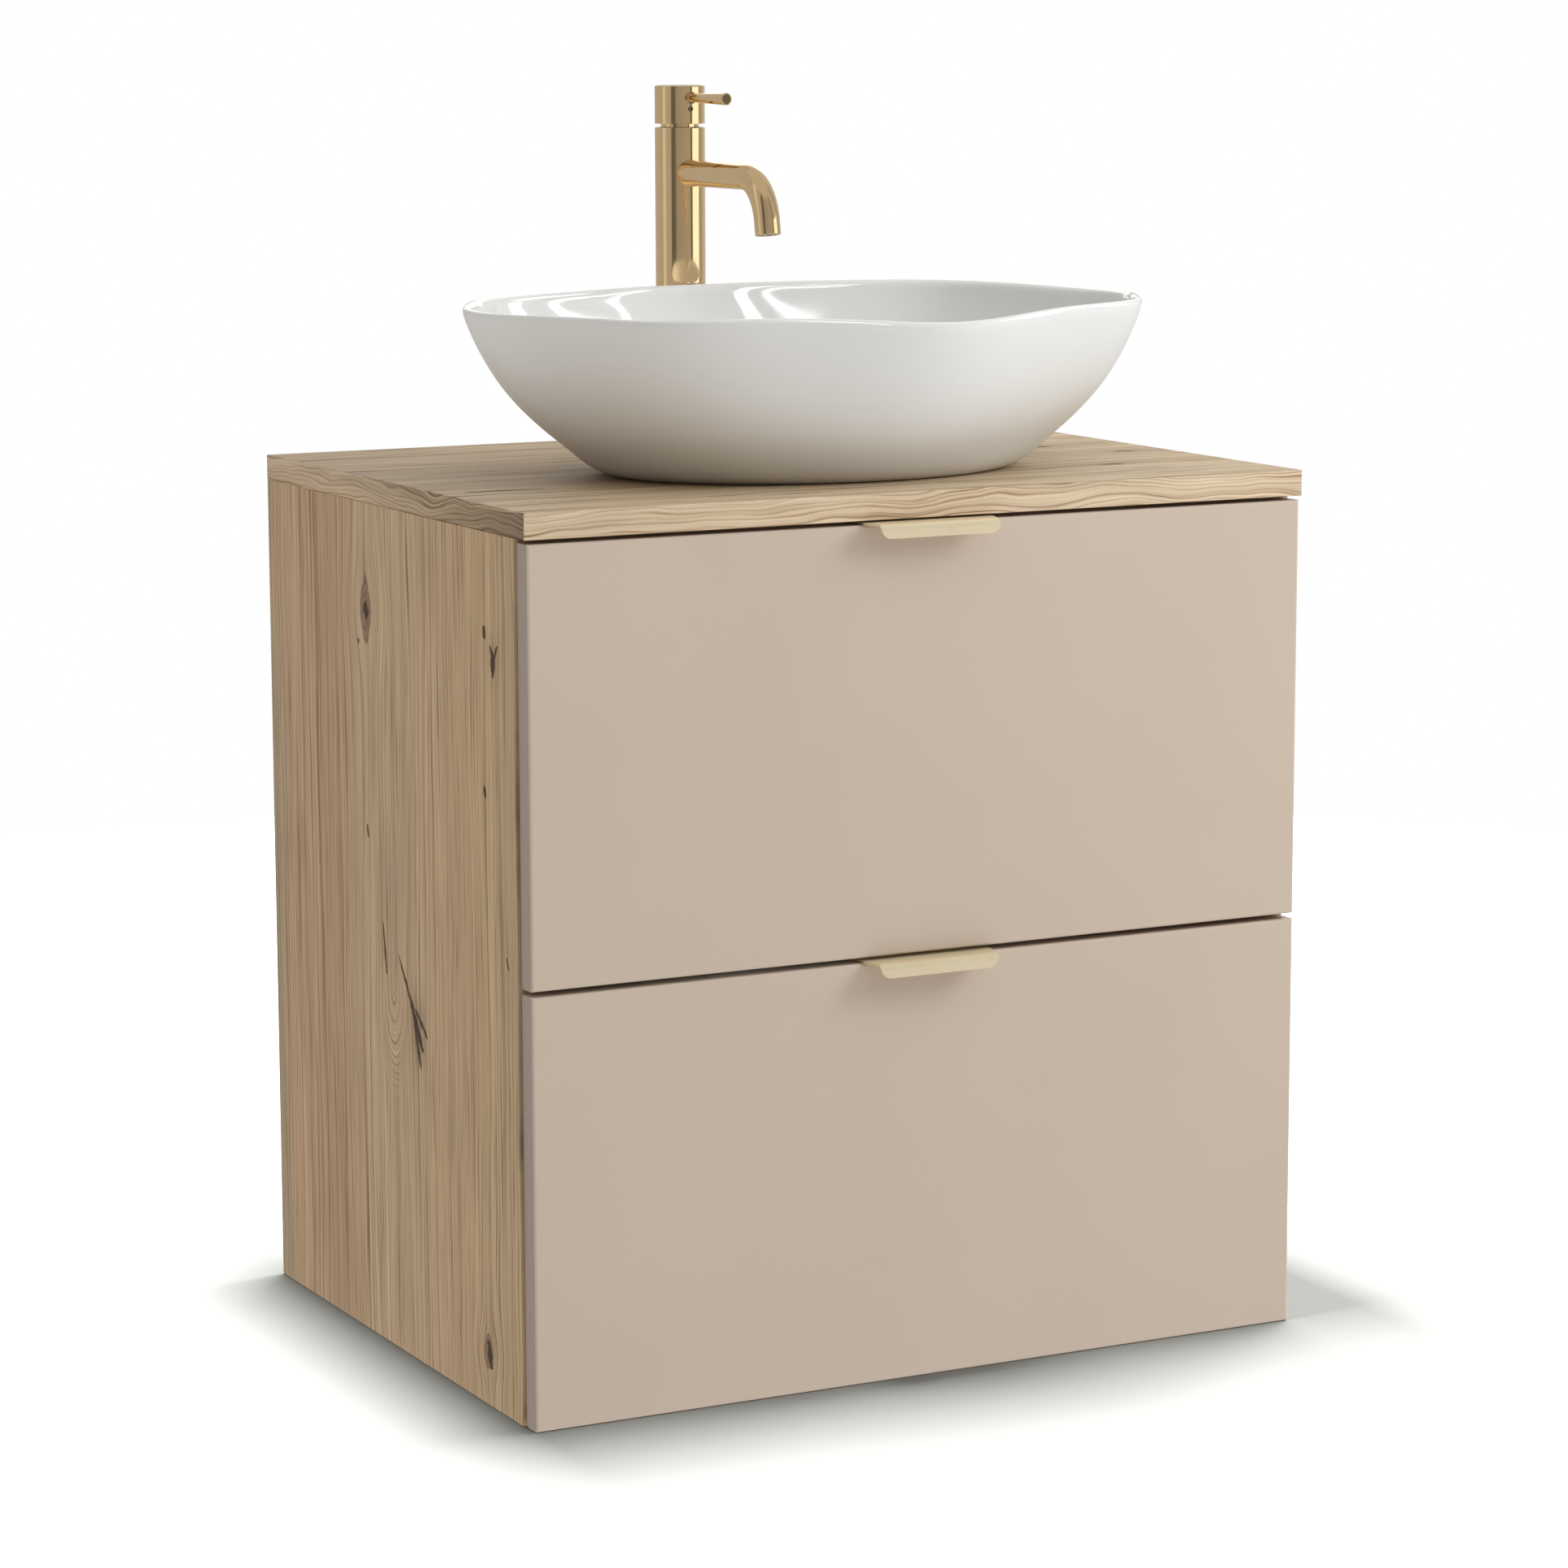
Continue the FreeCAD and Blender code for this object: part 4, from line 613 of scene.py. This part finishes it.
def soften_boards():
    soften("side_panel_left", 0.5, 3, [side_left_oak])
    soften("side_panel_right", 0.5, 3, [side_right_oak])
    soften("worktop", 0.15, 1, [MATERIALS["worktop_laminate"], chipboard_core],
           choose=lambda face: int(face.normal.y > 0.9))
    soften_edging()
    for name, slot in SLOT_OF.items():
        if slot in ("carcass_board", "drawer_board"):
            soften_raw_edged(name, slot)


# ---------------------------------------------------------------- basin

RING_POLES = 48
AROUND = 384
STEPS_PER_ROW = 8
LOBES = 8
LOBE_ANGLE = math.radians(3.5)
LOBE_SHARE = 0.018
RIM_WAVE = -0.5
RIM_TILT = 2.2
BASIN_H = 118.5
BASIN_WALL = 9.0
BASIN_FLOOR = 14.0
RIM_HALF = (256.0, 178.5)
# direction and spread in degrees, then how far out and up
RIM_SWELLS = [(10.0, 20.0, 0.0, -2.0), (50.0, 16.0, 0.0, 1.5), (120.0, 14.0, 0.0, -1.5),
              (170.0, 18.0, 2.0, 0.5), (240.0, 12.0, 0.0, 1.0), (275.0, 14.0, 0.0, -4.0),
              (312.0, 16.0, -2.0, 2.0), (335.0, 14.0, -2.0, 0.0)]
FOOT_HALF = (143.0, 103.5)
WASTE_SEAT_R = 32.5
DRAIN_R = 22.5

# share of the way from foot to rim, height, share of the lobes
OUTSIDE = [(0.0, 0.0, 0.0), (0.15, 2.0, 0.05), (0.30, 17.0, 0.15), (0.52, 35.0, 0.35), (0.765, 62.0, 0.6),
           (0.923, 92.0, 0.85), (1.0, BASIN_H - 6.0, 1.0), (1.012, BASIN_H + 1.4, 1.0)]
INSIDE = [(1.012, BASIN_H + 1.4, 1.0), (0.985, BASIN_H - 8.0, 1.0), (0.88, 90.0, 0.85), (0.71, 62.0, 0.6),
          (0.50, 38.0, 0.35), (0.24, 21.0, 0.1), (-0.12, BASIN_FLOOR + 2.0, 0.0), (-0.45, BASIN_FLOOR, 0.0)]


def control_ring(part, height, share, wall):
    """One row of the poles that shape the basin's skin, wall millimetres inside the outer size."""
    half_x, half_y = [foot + (rim - foot) * part - wall for foot, rim in zip(FOOT_HALF, RIM_HALF)]
    angle = 2 * np.pi * np.arange(RING_POLES) / RING_POLES
    lobe = np.cos(LOBES * (angle - LOBE_ANGLE))
    swell = 1 + share * LOBE_SHARE * lobe
    lift = share * (RIM_WAVE * lobe + RIM_TILT * np.sin(angle))
    outward = np.zeros(RING_POLES)
    for direction, spread, out, up in RIM_SWELLS:
        off = (np.degrees(angle) - direction + 180) % 360 - 180
        near = share * np.exp(-(off / spread) ** 2)
        outward += out * near
        lift += up * near
    x = (half_x * swell + outward) * np.cos(angle)
    y = (half_y * swell + outward) * np.sin(angle)
    return np.stack([x, y, height + lift], 1)


def round_ring(rows):
    """Points on the closed uniform cubic splines of some rows of poles, AROUND to each row."""
    place = np.arange(AROUND) * RING_POLES / AROUND
    first = np.floor(place).astype(int)
    s = (place - first)[:, None]
    weights = [(1 - s) ** 3, 3 * s ** 3 - 6 * s ** 2 + 4, -3 * s ** 3 + 3 * s ** 2 + 3 * s + 1, s ** 3]
    return sum(w / 6 * rows[:, (first + k - 1) % RING_POLES] for k, w in enumerate(weights))


def clamped_weights(rows, places):
    """Weights of a clamped cubic spline with knots at 0, 1, 2 and so on, one row for each place."""
    knots = np.concatenate([np.zeros(3), np.arange(rows - 2), np.full(3, rows - 3)])
    places = np.minimum(places, rows - 3 - 1e-9)[:, None]
    weights = ((places >= knots[:-1]) & (places < knots[1:])).astype(float)
    for degree in (1, 2, 3):
        count = len(knots) - 1 - degree
        low = knots[:count]
        rise = np.maximum(knots[degree:degree + count] - low, 1e-12)
        fall_end = knots[degree + 1:degree + 1 + count]
        fall = np.maximum(fall_end - knots[1:1 + count], 1e-12)
        rising = np.where(knots[degree:degree + count] > low, (places - low) / rise, 0.0)
        falling = np.where(fall_end > knots[1:1 + count], (fall_end - places) / fall, 0.0)
        weights = rising * weights[:, :count] + falling * weights[:, 1:count + 1]
    return weights


def add_basin():
    low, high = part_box("basin")
    centre_y = (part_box("waste_body")[0].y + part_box("waste_body")[1].y) / 2
    net = [control_ring(*entry, 0.0) for entry in OUTSIDE]
    net += [control_ring(*entry, BASIN_WALL) for entry in INSIDE]
    net = round_ring(np.array(net))
    places = np.linspace(0, len(net) - 3, (len(net) - 3) * STEPS_PER_ROW + 1)
    skin = np.einsum("pr,rac->pac", clamped_weights(len(net), places), net)
    angle = 2 * np.pi * np.arange(AROUND) / AROUND

    def circle(radius, height):
        return np.stack([radius * np.cos(angle), radius * np.sin(angle), np.full(AROUND, height)], 1)

    floor_z = BASIN_FLOOR
    seat_z = floor_z - 2.0
    seat = circle(WASTE_SEAT_R + 0.8, floor_z)
    inner = [skin[-1] * (1 - t) + seat * t for t in (0.25, 0.5, 0.75)]
    inner += [seat, circle(WASTE_SEAT_R + 0.25, floor_z - 0.2), circle(WASTE_SEAT_R, floor_z - 0.8),
              circle(WASTE_SEAT_R, seat_z), circle(DRAIN_R + 0.6, seat_z), circle(DRAIN_R, seat_z - 0.6),
              circle(DRAIN_R, 0.5), circle(DRAIN_R + 0.5, 0.0)]
    foot = skin[0]
    hole = circle(DRAIN_R + 0.5, 0.0)
    inner += [hole * (1 - t) + foot * t for t in (0.35, 0.7)]
    rings = np.concatenate([skin, np.array(inner)])
    rings = rings * MM + np.array([0.0, centre_y, low.z])
    mesh = bmesh.new()
    grid = [[mesh.verts.new(point) for point in ring] for ring in rings]
    for row in range(len(grid)):
        upper = grid[(row + 1) % len(grid)]
        for k in range(AROUND):
            after = (k + 1) % AROUND
            mesh.faces.new((grid[row][k], grid[row][after], upper[after], upper[k]))
    bmesh.ops.recalc_face_normals(mesh, faces=mesh.faces)
    return add_piece("basin_glazed", mesh, [MATERIALS["basin_glaze"]], "cabinet", ["basin"])


# ---------------------------------------------------------------- floor, light and camera

# Brightness by azimuth in degrees. Azimuth 0 is the front, -Y, and 90 is the right, +X.
REFLECTED_WALLS = [(-180.0, 0.50), (-113.0, 0.48), (-110.0, 0.72), (-97.0, 0.72), (-93.0, 0.48),
                   (-69.0, 0.46), (-64.0, 0.14), (-48.0, 0.15), (-43.0, 0.34), (0.0, 0.40), (23.0, 0.42),
                   (26.0, 0.14), (32.0, 0.14), (34.0, 0.52), (70.0, 0.52), (76.0, 0.40), (92.0, 0.44),
                   (110.0, 0.60), (180.0, 0.52)]
SOFT_WALLS = [(-180.0, 0.34), (-120.0, 0.32), (-60.0, 0.22), (0.0, 0.26), (55.0, 0.60), (90.0, 0.62),
              (130.0, 0.42), (180.0, 0.34)]
STUDIO_TINT = (1.0, 0.98, 0.945)

# name, then azimuth and elevation ranges in degrees
GLINTS = [("glint_a", 84.0, 97.0, 8.0, 45.0), ("glint_b", 67.6, 70.0, 8.0, 45.0),
          ("glint_c", 63.6, 65.2, 8.0, 45.0), ("glint_d", 8.5, 12.5, 18.0, 52.0),
          ("glint_e", 4.2, 5.4, 18.0, 52.0)]
GLINT_REACH = 20.0
GLINT_RADIANCE = 14.0

FLOOR_RADIUS = 2.2
FLOOR_GREY = [(0.145, 0.149, 0.141), (0.153, 0.157, 0.149)]
FLOOR_GLOW = 0.75

# the camera's yaw, pitch and roll in degrees, its place in metres, its lens in millimetres
CAMERA_ANGLES = (27.15, 9.34, -0.15)
CAMERA_PLACE = (-1.55181, -3.03086, 0.94499)
CAMERA_LENS = 109.3


def add_floor():
    """A pale disc. Far from the vanity it glows into the white surroundings, so it has no visible rim.

    The light and reflections it would throw back up come from the lower half of the world instead.
    """
    mesh = bmesh.new()
    bmesh.ops.create_circle(mesh, cap_ends=True, radius=FLOOR_RADIUS, segments=96)
    data = bpy.data.meshes.new("floor")
    mesh.to_mesh(data)
    mesh.free()
    floor = bpy.data.objects.new("floor", data)
    floor.location.z = cad_box[0].z - 0.0004
    bpy.context.scene.collection.objects.link(floor)
    m = Material("pale_floor")
    cloud = m.noise(m.x / 400.0, m.y / 400.0, detail=2.0)
    distance = m.math("SQRT", m.x * m.x + m.y * m.y)
    m.put(m.surface.inputs["Emission Color"], (1.0, 1.0, 1.0))
    glow = distance.smooth(500.0, 1600.0) * FLOOR_GLOW
    grey = m.mix(*FLOOR_GREY, cloud * 0.5 + 0.5)
    material = m.finish(grey, 0.9, Specular_IOR_Level=0.1, Emission_Strength=glow)
    data.materials.append(material)
    floor.visible_diffuse = False
    floor.visible_glossy = False
    return floor


def add_world():
    """A white studio: plain white where seen directly, soft and brighter to the right as light.

    Reflections see more of it: dark gaps between grey walls, a window at the front right and a
    bright screen behind.
    """
    world = bpy.data.worlds.new("studio")
    world.use_nodes = True
    bpy.context.scene.world = world
    g = Graph(world.node_tree)
    g.tree.nodes.clear()
    direction = g.add("ShaderNodeTexCoord", {}).outputs["Generated"]
    x, y, z = g.split(direction)
    azimuth = g.math("ARCTAN2", x, y * -1.0) * (180 / math.pi)
    elevation = g.math("ARCSINE", z) * (180 / math.pi)

    def around(levels, interpolation):
        """Brightness by azimuth."""
        stops = [((place + 180.0) / 360.0, (value, value, value)) for place, value in levels]
        return g.split(g.ramp((azimuth + 180.0) / 360.0, stops, interpolation))[0]

    def pane(az_low, az_high, el_low, el_high, soft, soft_foot=1.5):
        """1 between two azimuths and two elevations, with soft sides."""
        sides = g.smooth(azimuth, az_low, az_low + soft) * g.smooth(azimuth, az_high, az_high - soft)
        ends = g.smooth(elevation, el_low, el_low + soft_foot) * g.smooth(elevation, el_high, el_high - soft)
        return sides * ends

    walls = around(REFLECTED_WALLS, "LINEAR")
    reflected = walls + (0.55 - walls) * elevation.smooth(45.0, 62.0)
    reflected = reflected + (0.40 - reflected) * elevation.smooth(-18.0, -40.0)
    reflected = reflected + pane(33.0, 71.0, -30.0, 16.0, 2.0, 20.0) * 0.95
    reflected = reflected + pane(138.0, 168.0, 3.0, 30.0, 4.0) * 0.85

    soft = around(SOFT_WALLS, "EASE")
    soft = soft + (1.20 - soft) * elevation.smooth(28.0, 62.0)
    soft = soft + (1.12 - soft) * elevation.smooth(2.0, -16.0)

    glossy = Field(g, g.add("ShaderNodeLightPath", {}).outputs["Is Glossy Ray"])
    light = soft + (reflected - soft) * glossy
    lit = g.add("ShaderNodeBackground", {"Color": STUDIO_TINT, "Strength": light}).outputs[0]
    seen = g.add("ShaderNodeBackground", {"Color": (1.0, 1.0, 1.0), "Strength": 1.0}).outputs[0]
    camera_ray = g.add("ShaderNodeLightPath", {}).outputs["Is Camera Ray"]
    shown = g.add("ShaderNodeMixShader", {0: camera_ray, 1: lit, 2: seen}).outputs[0]
    g.add("ShaderNodeOutputWorld", {"Surface": shown})


def add_glint(name, az_low, az_high, el_low, el_high, piece):
    """A tall bright screen at some azimuths and heights, reflected by one piece alone."""
    azimuth = math.radians((az_low + az_high) / 2)
    height = math.radians((el_low + el_high) / 2)
    centre = Vector((0.0, -0.05, 0.7))
    level = math.cos(height)
    way = Vector((math.sin(azimuth) * level, -math.cos(azimuth) * level, math.sin(height)))
    wide = GLINT_REACH * level * math.radians(az_high - az_low)
    tall = GLINT_REACH * math.radians(el_high - el_low)
    light = add_area_light(name, centre + way * GLINT_REACH, centre, (wide, tall),
                           GLINT_RADIANCE * math.pi * wide * tall, linked=[piece])
    light.visible_diffuse = False


def add_area_light(name, place, target, size, power, colour=(1.0, 1.0, 1.0), linked=(), state="INCLUDE"):
    """A rectangular soft light. It lights just the linked objects, or with EXCLUDE all the others."""
    data = bpy.data.lights.new(name, "AREA")
    data.shape = "RECTANGLE"
    data.size, data.size_y = size
    data.energy = power
    data.color = colour
    light = bpy.data.objects.new(name, data)
    light.location = place
    light.rotation_euler = (Vector(target) - Vector(place)).to_track_quat("-Z", "Y").to_euler()
    light.visible_camera = False
    bpy.context.scene.collection.objects.link(light)
    group = bpy.data.collections.new(name + "_linked")
    light.light_linking.receiver_collection = group
    for piece in linked:
        group.objects.link(piece)
    for member in group.collection_objects:
        member.light_linking.link_state = state
    return light


def add_camera():
    yaw, pitch, roll = [math.radians(angle) for angle in CAMERA_ANGLES]
    forward = Vector((math.sin(yaw) * math.cos(pitch), math.cos(yaw) * math.cos(pitch), -math.sin(pitch)))
    level = Vector((math.cos(yaw), -math.sin(yaw), 0.0))
    upright = level.cross(forward)
    right = level * math.cos(roll) + upright * math.sin(roll)
    up = upright * math.cos(roll) - level * math.sin(roll)
    camera = bpy.data.objects.new("camera", bpy.data.cameras.new("camera"))
    camera.data.lens = CAMERA_LENS
    camera.data.sensor_width = 36.0
    camera.data.clip_end = 30.0
    turn = Matrix((right, up, -forward)).transposed().to_4x4()
    camera.matrix_world = Matrix.Translation(CAMERA_PLACE) @ turn
    bpy.context.scene.collection.objects.link(camera)
    bpy.context.scene.camera = camera


soften_boards()
basin = add_basin()
floor = add_floor()
add_world()
# two lights that make the shadow on the floor, and one from the right on everything else
add_area_light("overhead_left", (-0.14, 0.144, 3.0), (-0.14, 0.144, 0.0), (0.36, 0.90), 600.0,
               linked=[floor])
add_area_light("overhead_right", (0.80, 0.144, 3.0), (0.80, 0.144, 0.0), (1.0, 0.90), 306.0, linked=[floor])
key = add_area_light("key", (1.5, -1.15, 1.5), (0.0, 0.0, 0.5), (1.0, 1.0), 22.0,
                     colour=(0.94, 1.0, 1.04), linked=[floor], state="EXCLUDE")
key.visible_glossy = False
for glint in GLINTS:
    add_glint(*glint, basin)
add_camera()
bpy.context.scene.view_settings.view_transform = "Standard"
